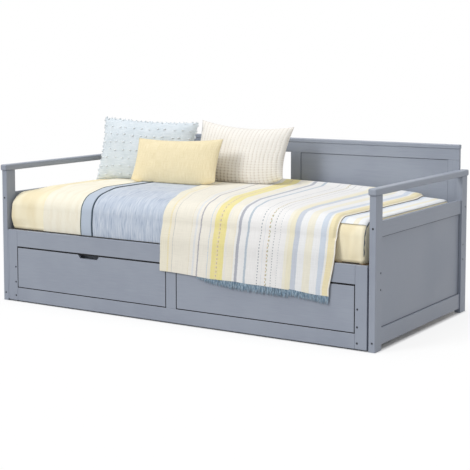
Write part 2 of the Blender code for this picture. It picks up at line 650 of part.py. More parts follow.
def finger_cutter(name, middle, parent):
    """The wedge that is cut out of a drawer front's top edge."""
    bm = bmesh.new()
    top = DRAWER_TOP + CUT_OVERRUN
    bottom = DRAWER_TOP - FINGER_CUT_DEPTH
    slope = (FINGER_CUT_TOP_WIDTH - FINGER_CUT_BOTTOM_WIDTH) / FINGER_CUT_DEPTH
    top_half = (FINGER_CUT_TOP_WIDTH + slope * CUT_OVERRUN) / 2
    bottom_half = FINGER_CUT_BOTTOM_WIDTH / 2
    outline = ((-bottom_half, bottom), (bottom_half, bottom), (top_half, top),
               (-top_half, top))
    rings = []
    for y in (FRONT_FACE - CUT_OVERRUN, DRAWER_FRONT_BACK + CUT_OVERRUN):
        rings.append([bm.verts.new(Vector((middle + x, y, z)) - parent.location)
                      for x, z in outline])
    bm.faces.new(rings[0])
    bm.faces.new(list(reversed(rings[1])))
    for index in range(len(outline)):
        after = (index + 1) % len(outline)
        bm.faces.new((rings[0][index], rings[0][after], rings[1][after], rings[1][index]))
    return guide(add_object(name, mesh_from(bm, name), parent.location, parent, "paint"))


def make_drawer(side, word, parent):
    """One drawer: front with its finger cut, two grooved sides, back, bottom."""
    middle = side * (DRAWER_OUTER + DRAWER_INNER) / 2
    low, high = mirrored(side, (DRAWER_INNER, FRONT_FACE, DRAWER_BOTTOM),
                         (DRAWER_OUTER, DRAWER_FRONT_BACK, DRAWER_TOP))
    front = board(word + "_drawer_front", low, high, parent)
    cut(front, finger_cutter(word + "_finger_cut", middle, parent))
    groove_bottom = RUNNER_MIDDLE - RUNNER_HEIGHT / 2 - TOUCH_GAP
    groove_top = RUNNER_MIDDLE + RUNNER_HEIGHT / 2 + TOUCH_GAP
    groove_span = (DRAWER_BOX_FRONT - CUT_OVERRUN, DRAWER_BOX_REAR + CUT_OVERRUN)
    outer_word = "right" if side > 0 else "left"
    inner_word = "left" if side > 0 else "right"
    places = (
        (outer_word, DRAWER_OUTER - DRAWER_BOARD_THICKNESS, DRAWER_OUTER,
         DRAWER_OUTER - RUNNER_GROOVE_DEPTH, DRAWER_OUTER + CUT_OVERRUN),
        (inner_word, DRAWER_INNER, DRAWER_INNER + DRAWER_BOARD_THICKNESS,
         DRAWER_INNER - CUT_OVERRUN, DRAWER_INNER + RUNNER_GROOVE_DEPTH),
    )
    for name, near, far, groove_near, groove_far in places:
        low, high = mirrored(side, (near, DRAWER_BOX_FRONT, DRAWER_BOX_BOTTOM),
                             (far, DRAWER_BOX_REAR, DRAWER_BOX_TOP))
        plank = board(word + "_drawer_" + name + "_side", low, high, parent, "board",
                      segments=1)
        low, high = mirrored(side, (groove_near, groove_span[0], groove_bottom),
                             (groove_far, groove_span[1], groove_top))
        groove = boards_into(word + "_" + name + "_groove", [(low, high)], parent, "board")
        cut(plank, guide(groove))
    inner = DRAWER_INNER + DRAWER_BOARD_THICKNESS + TOUCH_GAP
    outer = DRAWER_OUTER - DRAWER_BOARD_THICKNESS - TOUCH_GAP
    bottom = DRAWER_BOX_BOTTOM + DRAWER_BOTTOM_LIFT
    back_front = DRAWER_BOX_REAR - DRAWER_BOARD_THICKNESS
    low, high = mirrored(side, (inner, DRAWER_BOX_FRONT, bottom),
                         (outer, back_front - TOUCH_GAP, bottom + DRAWER_BOTTOM_THICKNESS))
    board(word + "_drawer_bottom", low, high, parent, "board", width=0)
    low, high = mirrored(side, (inner, back_front, DRAWER_BOX_BOTTOM),
                         (outer, DRAWER_BOX_REAR, DRAWER_BOX_TOP))
    board(word + "_drawer_back", low, high, parent, "board", segments=1)


def smooth_step(value):
    """Ease from 0 to 1 as value goes from 0 to 1."""
    value = min(max(value, 0.0), 1.0)
    return value * value * (3 - 2 * value)


def crown_levels_at(x):
    """The crown's height and the rear rise at x, in straight runs between stations."""
    share = (x - MATTRESS_LEFT) / MATTRESS_LENGTH
    for near, far in zip(CROWN_PROFILE, CROWN_PROFILE[1:]):
        if share <= far[0]:
            along = max(share - near[0], 0.0) / (far[0] - near[0])
            crown = near[1] + (far[1] - near[1]) * along
            rise = near[2] + (far[2] - near[2]) * along
            return MATTRESS_CROWN * crown, MATTRESS_REAR_RISE * rise
    return MATTRESS_CROWN * CROWN_PROFILE[-1][1], MATTRESS_REAR_RISE * CROWN_PROFILE[-1][2]


def crown_at(x, y):
    """How far the bed's top rises above its edge at one place."""
    crown, rise = crown_levels_at(x)
    from_front = (y - MATTRESS_FRONT - MATTRESS_TOP_RADIUS) / MATTRESS_CROWN_RUN
    to_rear = (MATTRESS_REAR - MATTRESS_REAR_RADIUS - y) / MATTRESS_REAR_RISE_RUN
    return crown * smooth_step(from_front) + rise * smooth_step(1 - to_rear)


def arc(centre_y, centre_z, radius, start, end, count):
    """Points on a circle in the YZ plane, angles in degrees."""
    points = []
    for index in range(count + 1):
        angle = math.radians(start + (end - start) * index / count)
        points.append((centre_y + radius * math.cos(angle),
                       centre_z + radius * math.sin(angle)))
    return points


def side_points(face, side, top):
    """Points up one side of the bed, from its foot: side is -1 in front, 1 behind."""
    foot = MATTRESS_BOTTOM + MATTRESS_BOTTOM_RADIUS
    points = []
    for index in range(SIDE_STEPS):
        share = index / SIDE_STEPS
        bulge = MATTRESS_SIDE_BULGE * math.sin(math.pi * share)
        points.append((face + side * bulge, foot + (top - foot) * share))
    return points


def bed_path(x):
    """The bed's outline at x: up its front side, over its top, down its rear."""
    top_start = MATTRESS_FRONT + MATTRESS_TOP_RADIUS
    top_end = MATTRESS_REAR - MATTRESS_REAR_RADIUS
    front_top = MATTRESS_EDGE_TOP - MATTRESS_TOP_RADIUS
    rear_top = MATTRESS_EDGE_TOP + crown_at(x, top_end) - MATTRESS_REAR_RADIUS
    front = side_points(MATTRESS_FRONT, -1, front_top)
    front += arc(top_start, front_top, MATTRESS_TOP_RADIUS, 180, 90, CORNER_STEPS)
    top = []
    for index in range(1, TOP_STEPS):
        y = top_start + (top_end - top_start) * index / TOP_STEPS
        top.append((y, MATTRESS_EDGE_TOP + crown_at(x, y)))
    rear = arc(top_end, rear_top, MATTRESS_REAR_RADIUS, 90, 0, REAR_CORNER_STEPS)
    rear += reversed(side_points(MATTRESS_REAR, 1, rear_top))
    return front + top + rear


def bed_stations():
    """Where the bed's crown changes slope along its length, and where covers end."""
    stations = [QUILT_LEFT, QUILT_RIGHT, BLANKET_LEFT, BLANKET_RIGHT, THROW_RIGHT]
    for share, _, _ in CROWN_PROFILE[1:-1]:
        stations.append(MATTRESS_LEFT + MATTRESS_LENGTH * share)
    return sorted(stations)


def make_mattress(parent):
    """The mattress in its fitted sheet: crowned top, rounded edges and ends."""
    ends = []
    for index in range(END_STEPS + 1):
        angle = math.pi / 2 * index / END_STEPS
        ends.append((MATTRESS_END_RADIUS * (1 - math.cos(angle)),
                     MATTRESS_END_RADIUS * (1 - math.sin(angle))))
    stations = [(MATTRESS_LEFT + run, inset) for run, inset in ends]
    stations += [(x, 0.0) for x in bed_stations()]
    stations += [(MATTRESS_RIGHT - run, inset) for run, inset in reversed(ends)]
    middle_y = (MATTRESS_FRONT + MATTRESS_REAR) / 2
    foot = arc(MATTRESS_FRONT + MATTRESS_BOTTOM_RADIUS,
               MATTRESS_BOTTOM + MATTRESS_BOTTOM_RADIUS, MATTRESS_BOTTOM_RADIUS,
               270, 180, 2)[:-1]
    rear_foot = [(2 * middle_y - y, z) for y, z in reversed(foot)]
    bm = bmesh.new()
    rings = []
    for x, inset in stations:
        ring = []
        for y, z in foot + bed_path(x) + rear_foot:
            across = (y - middle_y) / (MATTRESS_DEPTH / 2)
            level = min((z - MATTRESS_BOTTOM) / (MATTRESS_EDGE_TOP - MATTRESS_BOTTOM), 1.0)
            point = Vector((x, y - across * inset, z + inset * (1 - 2 * level)))
            ring.append(bm.verts.new(point - parent.location))
        rings.append(ring)
    skin_rings(bm, rings)
    made = add_object("mattress", mesh_from(bm, "mattress"), parent.location, parent, "sheet")
    made.data.shade_smooth()


def quad_into(bm, a, b, c, d):
    """Two triangles split from a to c, so that stacked layers bend alike."""
    bm.faces.new((a, b, c))
    bm.faces.new((a, c, d))


def skin_rings(bm, rings):
    """Join closed rings into a skin, and cap its two ends."""
    bm.faces.new(rings[0])
    bm.faces.new(list(reversed(rings[-1])))
    for lower, upper in zip(rings, rings[1:]):
        for index in range(len(lower)):
            after = (index + 1) % len(lower)
            quad_into(bm, lower[index], upper[index], upper[after], lower[after])


def shell_solid(name, inner, outer, parent, finish):
    """A closed sheet between two grids of points of the same size."""
    bm = bmesh.new()

    def rows(grid):
        return [[bm.verts.new(Vector(point) - parent.location) for point in row]
                for row in grid]

    low = rows(inner)
    top = rows(outer)
    last_row = len(low) - 1
    last_column = len(low[0]) - 1
    for i in range(last_row):
        for j in range(last_column):
            quad_into(bm, top[i][j], top[i + 1][j], top[i + 1][j + 1], top[i][j + 1])
            quad_into(bm, low[i][j], low[i + 1][j], low[i + 1][j + 1], low[i][j + 1])
    for j in range(last_column):
        bm.faces.new((low[0][j], top[0][j], top[0][j + 1], low[0][j + 1]))
        bm.faces.new((low[last_row][j], low[last_row][j + 1], top[last_row][j + 1],
                      top[last_row][j]))
    for i in range(last_row):
        bm.faces.new((low[i][0], low[i + 1][0], top[i + 1][0], top[i][0]))
        bm.faces.new((low[i][last_column], top[i][last_column],
                      top[i + 1][last_column], low[i + 1][last_column]))
    made = add_object(name, mesh_from(bm, name), parent.location, parent, finish)
    made.data.shade_smooth()
    return made


def offset_path(path, distance):
    """Move each point of a YZ path outwards, square to the path."""
    moved = []
    for index, (y, z) in enumerate(path):
        before = path[max(index - 1, 0)]
        after = path[min(index + 1, len(path) - 1)]
        along_y = after[0] - before[0]
        along_z = after[1] - before[1]
        length = math.hypot(along_y, along_z)
        moved.append((y - distance * along_z / length, z + distance * along_y / length))
    return moved


def make_cover(name, left, right, lift, thickness, parent, finish):
    """A bed cover, over the bed from the foot of its front to the foot of its rear."""
    foot = FRAME_TOP + TOUCH_GAP
    inner = []
    outer = []
    for x in [x for x in bed_stations() if left <= x <= right]:
        path = [(MATTRESS_FRONT, foot)] + bed_path(x) + [(MATTRESS_REAR, foot)]
        inner.append([(x, y, z) for y, z in offset_path(path, lift)])
        outer.append([(x, y, z) for y, z in offset_path(path, lift + thickness)])
    shell_solid(name, inner, outer, parent, finish)


def throw_left_at(y):
    """The left edge of the throw, which drifts outwards towards the back."""
    return THROW_LEFT - THROW_LEFT_SLANT * max(0.0, y - MATTRESS_FRONT - MATTRESS_TOP_RADIUS)


def throw_right_at(z):
    """The right edge of the throw, which draws in as it hangs."""
    edge_foot = MATTRESS_EDGE_TOP - MATTRESS_TOP_RADIUS
    drop = max(0.0, edge_foot - z) / (edge_foot - THROW_SPLIT)
    return THROW_RIGHT - (THROW_RIGHT - THROW_DROP_RIGHT) * drop


def make_throw_top(parent):
    """The throw over the top of the bed and down to the front frame."""
    stations = [x for x in bed_stations() if THROW_LEFT < x < THROW_DROP_RIGHT]
    columns = [None] + stations + [None]
    middle_path = bed_path(0.0)
    grids = []
    for distance in (THROW_LIFT, THROW_LIFT + THROW_THICKNESS):
        hang = THROW_BACK - (distance - THROW_LIFT)
        grid = []
        for column, station in enumerate(columns):
            row = []
            for level in (THROW_SPLIT, THROW_SPLIT + THROW_HEM_HEIGHT):
                x = station
                if station is None:
                    x = throw_right_at(level) if column else THROW_LEFT
                row.append((x, hang, level))
            for index, (y, level) in enumerate(middle_path):
                if level < THROW_HANG_TOP:
                    continue
                x = station
                if station is None:
                    x = throw_right_at(level) if column else throw_left_at(y)
                row.append((x, *offset_path(bed_path(x), distance)[index]))
            grid.append(row)
        grids.append(grid)
    shell_solid("throw_top", *grids, parent, "throw")


def fold_at(x):
    """The throw's shallow hanging folds: how far they stand out at x."""
    wave = math.sin(2 * math.pi * (x - THROW_LEFT) / THROW_FOLD_SPACING)
    return THROW_FOLD_HEIGHT * (1 + wave) / 2


def make_hanging(name, rows, parent):
    """A hanging part of the throw: rows are (height, left edge, right edge)."""
    inner = []
    outer = []
    for column in range(HANGING_COLUMNS + 1):
        share = column / HANGING_COLUMNS
        low_row = []
        top_row = []
        for z, left, right in rows:
            x = left + (right - left) * share
            low_row.append((x, THROW_BACK, z))
            top_row.append((x, THROW_BACK - THROW_THICKNESS - fold_at(x), z))
        inner.append(low_row)
        outer.append(top_row)
    shell_solid(name, inner, outer, parent, "throw")


def pillow_rest_at(x, y):
    """The level that a pillow rests on: the throw, or the blanket left of it."""
    left = throw_left_at(y)
    if x <= left - PILLOW_STEP_RUN:
        return BLANKET_TOP + TOUCH_GAP
    return THROW_TOP - MATTRESS_CROWN + crown_at(max(x, left), y) + TOUCH_GAP


def make_pillow(name, finish, sizes, parent):
    """A crowned pillow with drawn-in sides, leaning back, flat where it rests."""
    half_width = sizes["width"] / 2
    height = sizes["height"]
    turn = (Matrix.Rotation(math.radians(sizes["yaw"]), 3, "Z")
            @ Matrix.Rotation(math.radians(-sizes["lean"]), 3, "X")
            @ Matrix.Rotation(math.radians(-sizes["roll"]), 3, "Y"))
    place = Vector((sizes["from_left"] + MATTRESS_LEFT, BACK_FRONT - sizes["from_back"],
                    BLANKET_TOP - PILLOW_PRESS))
    bm = bmesh.new()

    def point(i, j, face):
        u = 2 * i / PILLOW_COLUMNS - 1
        v = 2 * j / PILLOW_ROWS - 1
        across = half_width * u - sizes["draw_in"] * u * (1 - v * v)
        upper = (1 + v) / 2
        lower = (1 - v) / 2
        level = height * upper - sizes["sag"] * (1 - u * u) * upper
        level += sizes["corner_rise"] * u ** 4 * lower ** 2
        level += sizes["right_lift"] * max(u, 0.0) ** 2 * lower ** 2
        full = ((1 - abs(u) ** PILLOW_FULLNESS) * (1 - abs(v) ** PILLOW_FULLNESS)) ** PILLOW_EDGE
        spot = place + turn @ Vector((across, face * sizes["thickness"] / 2 * full, level))
        spot.z = max(spot.z, pillow_rest_at(spot.x, spot.y))
        return spot

    grids = []
    for face in (-1, 1):
        grid = []
        for i in range(PILLOW_COLUMNS + 1):
            row = []
            for j in range(PILLOW_ROWS + 1):
                edge = i in (0, PILLOW_COLUMNS) or j in (0, PILLOW_ROWS)
                if edge and grids:
                    row.append(grids[0][i][j])
                else:
                    row.append(bm.verts.new(point(i, j, face) - parent.location))
            grid.append(row)
        grids.append(grid)
    for grid, faces_front in zip(grids, (True, False)):
        for i in range(PILLOW_COLUMNS):
            for j in range(PILLOW_ROWS):
                corners = [grid[i][j], grid[i + 1][j], grid[i + 1][j + 1], grid[i][j + 1]]
                if not faces_front:
                    corners.reverse()
                bm.faces.new(corners)
    mesh = mesh_from(bm, name, turn_faces=False)
    made = add_object(name, mesh, parent.location, parent, finish)
    made.data.shade_smooth()


def make_bedding(base, frame, right_drawer):
    """The mattress, its covers, the throw in its three parts and the pillows."""
    make_mattress(base)
    make_cover("quilt", QUILT_LEFT, QUILT_RIGHT, QUILT_LIFT, QUILT_THICKNESS, base, "quilt")
    make_cover("blanket", BLANKET_LEFT, BLANKET_RIGHT, BLANKET_LIFT, BLANKET_THICKNESS,
               base, "blanket")
    make_throw_top(base)
    drop_top = THROW_SPLIT - TOUCH_GAP
    drop_rows = [(THROW_FLAP_TOP + TOUCH_GAP, THROW_FLAP_LEFT, THROW_FLAP_RIGHT),
                 (drop_top, THROW_LEFT, THROW_DROP_RIGHT)]
    make_hanging("throw_drop", drop_rows, frame)
    flap_rows = [(THROW_FLAP_BOTTOM, THROW_FLAP_LEFT, THROW_HEM_RIGHT),
                 (THROW_FLAP_TOP, THROW_FLAP_LEFT, THROW_FLAP_RIGHT)]
    make_hanging("throw_flap", flap_rows, right_drawer)
    make_pillow("blue_pillow", "blue_cloth", PILLOWS["blue_pillow"], base)
    make_pillow("lumbar_pillow", "yellow_cloth", PILLOWS["lumbar_pillow"], base)
    make_pillow("woven_pillow", "woven_cloth", PILLOWS["woven_pillow"], base)


def main():
    """Build the whole daybed."""
    clear_scene()
    base = body("base", (0.0, 0.0, 0.0))
    frame = body("front_frame", (0.0, FRONT_FACE, 0.0))
    drawer_middle = (DRAWER_OUTER + DRAWER_INNER) / 2
    left_drawer = body("left_drawer", (-drawer_middle, FRONT_FACE, RUNNER_MIDDLE))
    right_drawer = body("right_drawer", (drawer_middle, FRONT_FACE, RUNNER_MIDDLE))
    ends = {word: make_end(side, word, base) for side, word in ((-1, "left"), (1, "right"))}
    outer_stiles = make_back(base)
    beam, rear = make_fixed_bed(base)
    bore_corners(ends, beam, rear, outer_stiles, base)
    make_front_frame(frame)
    make_glides(frame)
    make_moving_slats(frame)
    make_drawer_runners(frame)
    make_drawer(-1, "left", left_drawer)
    make_drawer(1, "right", right_drawer)
    make_bedding(base, frame, right_drawer)
    bpy.context.view_layer.update()
    travel = TAIL_BAR_FRONT - BEAM_BACK
    print("pull-out travel up to the beam: %.4f m" % travel)


main()
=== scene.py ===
# Storage daybed: finishes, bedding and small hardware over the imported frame.
import math

import bpy
import numpy as np
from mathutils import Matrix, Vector


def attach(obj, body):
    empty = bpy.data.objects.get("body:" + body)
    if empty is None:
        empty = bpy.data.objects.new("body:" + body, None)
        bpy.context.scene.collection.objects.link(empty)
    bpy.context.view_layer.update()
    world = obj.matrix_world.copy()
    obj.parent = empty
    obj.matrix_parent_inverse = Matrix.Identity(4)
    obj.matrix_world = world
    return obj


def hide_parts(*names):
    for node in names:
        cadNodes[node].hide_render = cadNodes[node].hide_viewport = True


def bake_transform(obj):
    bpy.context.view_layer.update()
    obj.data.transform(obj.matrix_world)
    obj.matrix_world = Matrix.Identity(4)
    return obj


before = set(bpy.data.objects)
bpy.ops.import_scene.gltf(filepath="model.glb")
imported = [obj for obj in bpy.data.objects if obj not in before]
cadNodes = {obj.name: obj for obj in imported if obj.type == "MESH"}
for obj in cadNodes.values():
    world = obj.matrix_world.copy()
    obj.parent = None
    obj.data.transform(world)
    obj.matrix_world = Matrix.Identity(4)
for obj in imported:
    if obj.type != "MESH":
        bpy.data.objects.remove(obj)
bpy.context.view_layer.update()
print("frame loaded:", len(cadNodes), "nodes")

# Where the photograph was taken from: metres, degrees, millimetres
view = dict(place=(3.1993, -4.9802, 1.2374), down=5.11, turn=32.45, focal=92.5, shiftY=-0.15292,
            reach=60.0)


def setCamera():
    lens = bpy.data.cameras.new("photoCamera")
    lens.lens = view["focal"]
    lens.shift_y = view["shiftY"]
    lens.clip_end = view["reach"]
    camera = bpy.data.objects.new("photoCamera", lens)
    camera.location = view["place"]
    camera.rotation_euler = (math.radians(90 - view["down"]), 0.0, math.radians(view["turn"]))
    bpy.context.scene.collection.objects.link(camera)
    bpy.context.scene.camera = camera


def linear(colour):  # a colour as it looks on screen, 0 to 255, to scene light
    screen = np.array(colour) / 255.0
    light = np.where(screen <= 0.04045, screen / 12.92, ((screen + 0.055) / 1.055) ** 2.4)
    return (*[float(part) for part in light], 1.0)


def node(tree, kind, inputs=None, **settings):  # a shader node; sockets among its inputs are linked
    made = tree.nodes.new("ShaderNode" + kind)
    for key, value in settings.items():
        setattr(made, key, value)
    for key, value in (inputs or {}).items():
        if isinstance(value, bpy.types.NodeSocket):
            tree.links.new(value, made.inputs[key])
        else:
            made.inputs[key].default_value = value
    return made


def maths(tree, operation, first, second=0.0, third=0.0):
    return node(tree, "Math", {0: first, 1: second, 2: third}, operation=operation).outputs[0]


def span(tree, value, low, high, newLow=0.0, newHigh=1.0):  # eased remap between two levels
    inputs = {0: value, 1: low, 2: high, 3: newLow, 4: newHigh}
    return node(tree, "MapRange", inputs, interpolation_type="SMOOTHSTEP").outputs[0]


# Soft studio light: one broad key from the front left, one from above, and an even sky
studio = dict(
    sky=0.53, floorHalf=16.0, floorColour=0.97, floorBounce=0.55, foot=(1.035, 0.495))
# Each sun: strength, where it comes from, how wide it is in degrees
suns = {"keySun": (1.40, (-0.44, -0.70, 0.58), 20.0), "topSun": (0.96, (0.0, 0.05, 1.0), 46.0)}
# How white the paper is painted round the bed: distance from, distance to, share added
floorFade = [(0.0, 0.022, 0.80), (0.03, 0.42, 0.13), (1.2, 3.0, 0.07)]
white = (1, 1, 1, 1)


def seenDirectly(tree):  # 1 for rays that show the background itself
    path = node(tree, "LightPath")
    first = maths(tree, "MAXIMUM", path.outputs["Is Camera Ray"], path.outputs["Is Glossy Ray"])
    return maths(tree, "MAXIMUM", first, path.outputs["Is Transmission Ray"])


def blendShaders(tree, share, first, second, target):  # into the tree's output
    both = node(tree, "MixShader", {0: share, 1: first.outputs[0], 2: second.outputs[0]})
    node(tree, target, {0: both.outputs[0]})


def emptyTree(owner):
    owner.use_nodes = True
    owner.node_tree.nodes.clear()
    return owner.node_tree


def setStudio():
    world = bpy.data.worlds.new("studioSky")
    bpy.context.scene.world = world
    tree = emptyTree(world)
    sky, paper = (node(tree, "Background", {"Color": white, "Strength": strength})
                  for strength in (studio["sky"], 1.0))
    blendShaders(tree, seenDirectly(tree), sky, paper, "OutputWorld")
    for name, (strength, comesFrom, spread) in suns.items():
        lamp = bpy.data.lights.new(name, "SUN")
        lamp.energy = strength
        lamp.angle = math.radians(spread)
        sun = bpy.data.objects.new(name, lamp)
        sun.rotation_euler = Vector(comesFrom).to_track_quat("Z", "Y").to_euler()
        bpy.context.scene.collection.objects.link(sun)
    bpy.context.scene.view_settings.view_transform = "Standard"


def makeFloor():
    # White paper that keeps the bed's shadow and glows white with distance from its rectangle
    half = studio["floorHalf"]
    finish = bpy.data.materials.new("floorPaper")
    tree = emptyTree(finish)
    direct = seenDirectly(tree)
    parts = node(tree, "SeparateXYZ", {0: node(tree, "TexCoord").outputs["Object"]})
    past = {}
    for axis, foot in enumerate(studio["foot"]):
        beyond = maths(tree, "SUBTRACT", maths(tree, "ABSOLUTE", parts.outputs[axis]), foot)
        past[axis] = maths(tree, "MAXIMUM", beyond, 0.0)
    both = node(tree, "CombineXYZ", past).outputs[0]
    away = node(tree, "VectorMath", {0: both}, operation="LENGTH").outputs["Value"]
    far = 0.0
    for near, end, share in floorFade:
        far = maths(tree, "ADD", span(tree, away, near, end, 0.0, share), far)
    grey = span(tree, direct, 0.0, 1.0, studio["floorBounce"], studio["floorColour"])
    paper = node(tree, "CombineXYZ", {0: grey, 1: grey, 2: grey}).outputs[0]
    matt = node(tree, "BsdfDiffuse", {"Color": paper})
    glow = node(tree, "Emission", {"Color": white, "Strength": 1.0})
    blendShaders(tree, maths(tree, "MULTIPLY", far, direct), matt, glow, "OutputMaterial")
    mesh = bpy.data.meshes.new("floor")
    corners = [(-half, -half, 0), (half, -half, 0), (half, half, 0), (-half, half, 0)]
    mesh.from_pydata(corners, [], [(0, 1, 2, 3)])
    mesh.materials.append(finish)
    floor = bpy.data.objects.new("floor", mesh)
    bpy.context.scene.collection.objects.link(floor)


setCamera()
setStudio()
makeFloor()
print("camera, light and floor set")


def ease(value):  # 0 to 1 with flat ends: 3v^2 - 2v^3
    value = np.clip(value, 0.0, 1.0)
    return value * value * (3.0 - 2.0 * value)


def rise(values, start, run):  # 0 up to 1 from start over run; a run below 0 goes down from it
    return ease((values - start) / run)


def bounded(values, low, high, run):  # 1 between two limits, eased to 0 within run of each
    return ease((values - low) / run) * ease((high - values) / run)


def softNoise(across, along, seed):  # seeded heights on a lattice, eased between, -1 to 1
    size = 97
    heights = np.random.default_rng(seed).uniform(-1.0, 1.0, (size, size))
    i, j = np.floor(across).astype(int), np.floor(along).astype(int)
    fi, fj = ease(across - i), ease(along - j)
    low, high = (heights[i % size, k % size] * (1 - fi) + heights[(i + 1) % size, k % size] * fi
                 for k in (j, j + 1))
    return low * (1 - fj) + high * fj


def lineAt(line, x, column=1):  # a table of places and values, read in straight runs
    table = np.array(line)
    return np.interp(x, table[:, 0], table[:, column])


def stations(*runs):  # spacing that changes along a line: (from, to, steps) for each run
    parts = [np.linspace(start, end, steps + 1)[:-1] for start, end, steps in runs]
    return np.concatenate(parts + [[runs[-1][1]]])


def gridNormals(points):  # square to a grid of points: cross product of its two steps
    normal = np.cross(np.gradient(points, axis=0), np.gradient(points, axis=1))
    return normal / np.maximum(np.linalg.norm(normal, axis=-1, keepdims=True), 1e-12)


def gridQuads(index, wrap=False):  # quads between neighbours of a grid of point numbers
    if wrap:
        index = np.concatenate([index, index[:, :1]], axis=1)
    corners = (index[:-1, :-1], index[1:, :-1], index[1:, 1:], index[:-1, 1:])
    return np.stack(corners, axis=-1).reshape(-1, 4)


def keepOn(mesh, name, kind, domain, values):  # a value for each point or edge of a mesh
    mesh.attributes.new(name, kind, domain).data.foreach_set("value", values)


def makePiece(name, points, quads, finish, uv=None, triangles=None, sharp=None, level=None):
    # A mesh from arrays. uv and level hold a pair and a number for each point; sharp holds the
    # ends of edges that stay crisp.
    quads = np.asarray(quads, np.int32).reshape(-1, 4)
    threes = np.zeros((0, 3), np.int32) if triangles is None else np.asarray(triangles, np.int32)
    used, renamed = np.unique(np.concatenate([quads.ravel(), threes.ravel()]), return_inverse=True)
    corners = renamed.ravel().astype(np.int32)
    counts = np.concatenate([np.full(len(quads), 4), np.full(len(threes), 3)])
    starts = np.concatenate([[0], np.cumsum(counts)[:-1]]).astype(np.int32)
    places = np.ascontiguousarray(points.reshape(-1, 3)[used], np.float32)
    mesh = bpy.data.meshes.new(name)
    mesh.vertices.add(len(places))
    mesh.vertices.foreach_set("co", places.ravel())
    mesh.loops.add(len(corners))
    mesh.loops.foreach_set("vertex_index", corners)
    mesh.polygons.add(len(counts))
    mesh.polygons.foreach_set("loop_start", starts)
    mesh.update(calc_edges=True)
    mesh.polygons.foreach_set("use_smooth", np.ones(len(counts), bool))
    if uv is not None:
        layer = mesh.uv_layers.new(name="clothUV")
        layer.data.foreach_set("uv", uv.reshape(-1, 2)[used][corners].astype(np.float32).ravel())
    if level is not None:
        keepOn(mesh, "level", "FLOAT", "POINT", level.ravel()[used].astype(np.float32))
    if sharp is not None:
        newNumber = np.full(len(points.reshape(-1, 3)), -1)
        newNumber[used] = np.arange(len(used))
        ends = np.empty(len(mesh.edges) * 2, np.int32)
        mesh.edges.foreach_get("vertices", ends)
        found, wanted = (np.sort(pairs, axis=1) @ np.array([len(used), 1])
                         for pairs in (ends.reshape(-1, 2), newNumber[sharp]))
        keepOn(mesh, "sharp_edge", "BOOLEAN", "EDGE", np.isin(found, wanted))
    mesh.materials.append(finish)
    mesh.validate()
    made = bpy.data.objects.new(name, mesh)
    bpy.context.scene.collection.objects.link(made)
    return made


def rimFaces(top, low):  # faces between two lines of point numbers that may meet at their ends
    startShut, endShut = top[:-1] == low[:-1], top[1:] == low[1:]
    four = np.stack([top[:-1], low[:-1], low[1:], top[1:]], 1)[~startShut & ~endShut]
    atStart = np.stack([top[:-1], low[1:], top[1:]], 1)[startShut & ~endShut]
    atEnd = np.stack([top[:-1], low[:-1], top[1:]], 1)[endShut & ~startShut]
    return four, np.concatenate([atStart, atEnd])


def makeSheet(name, outer, inner, uv, finish, split=(), level=None):
    # Two layers of points. They share their borders, except that a border named in split, where
    # one cloth is made in two pieces, keeps both layers and gets a square rim.
    rows, columns = outer.shape[:2]
    top = np.arange(rows * columns).reshape(rows, columns)
    borders = {"firstRow": (0, slice(None)), "lastRow": (-1, slice(None)),
               "firstColumn": (slice(None), 0), "lastColumn": (slice(None), -1)}
    shared = np.zeros((rows, columns), bool)
    for key, where in borders.items():
        if key not in split:
            shared[where] = True
    low = np.where(shared, top, top + rows * columns)
    outer = np.where(shared[..., None], (outer + inner) / 2, outer)
    quads, triangles, sharp = [gridQuads(top), gridQuads(low)[:, ::-1]], [], []
    for key in split:
        line, under = top[borders[key]], low[borders[key]]
        way = 1 if key in ("firstColumn", "lastRow") else -1
        four, three = rimFaces(line, under)
        quads.append(four[:, ::way])
        triangles.append(three[:, ::way])
        sharp += [np.stack([side[:-1], side[1:]], 1) for side in (line, under)]
    points = np.concatenate([outer.reshape(-1, 3), inner.reshape(-1, 3)])
    pairs = np.concatenate([uv.reshape(-1, 2)] * 2)
    levels = None if level is None else np.concatenate([level.ravel()] * 2)
    threes = np.concatenate(triangles) if triangles else None
    return makePiece(name, points, np.concatenate(quads), finish, pairs, threes,
                     np.concatenate(sharp) if sharp else None, levels)


def closedRings(name, rings, ends, finish, way=-1):
    # Bodies of rings, each shut by a fan at both ends: rings is (body, ring, point, xyz) and ends
    # (body, 2, xyz). way is 1 where the rings turn the other way round.
    bodies, count, sides = rings.shape[:3]
    size = count * sides
    index = np.arange(size).reshape(count, sides)
    after = np.roll(np.arange(sides), -1)
    fans = np.concatenate([np.stack([np.full(sides, size), after, index[0]], 1),
                           np.stack([np.full(sides, size + 1), index[-1], index[-1][after]], 1)])
    every = np.concatenate([rings.reshape(bodies, size, 3), ends], axis=1)
    shift = (np.arange(bodies) * (size + 2))[:, None, None]
    quads = (gridQuads(index, wrap=True)[None, :, ::way] + shift).reshape(-1, 4)
    triangles = (fans[None, :, ::-way] + shift).reshape(-1, 3)
    return makePiece(name, every, quads, finish, None, triangles)


def makeTubes(name, lines, radii, sides, finish):
    # Round strands: lines is (strand, point, xyz), radii (strand, point)
    along = np.gradient(lines, axis=1)
    along /= np.maximum(np.linalg.norm(along, axis=-1, keepdims=True), 1e-12)
    guide = np.where(np.abs(along[..., :1]) < 0.9, np.array([1.0, 0, 0]), np.array([0, 1.0, 0]))
    first = np.cross(along, guide)
    first /= np.linalg.norm(first, axis=-1, keepdims=True)
    second = np.cross(along, first)
    angle = np.linspace(0, 2 * np.pi, sides, endpoint=False)[:, None]
    ring = first[:, :, None] * np.cos(angle) + second[:, :, None] * np.sin(angle)
    points = lines[:, :, None] + ring * radii[:, :, None, None]
    return closedRings(name, points, np.stack([lines[:, 0], lines[:, -1]], axis=1), finish)


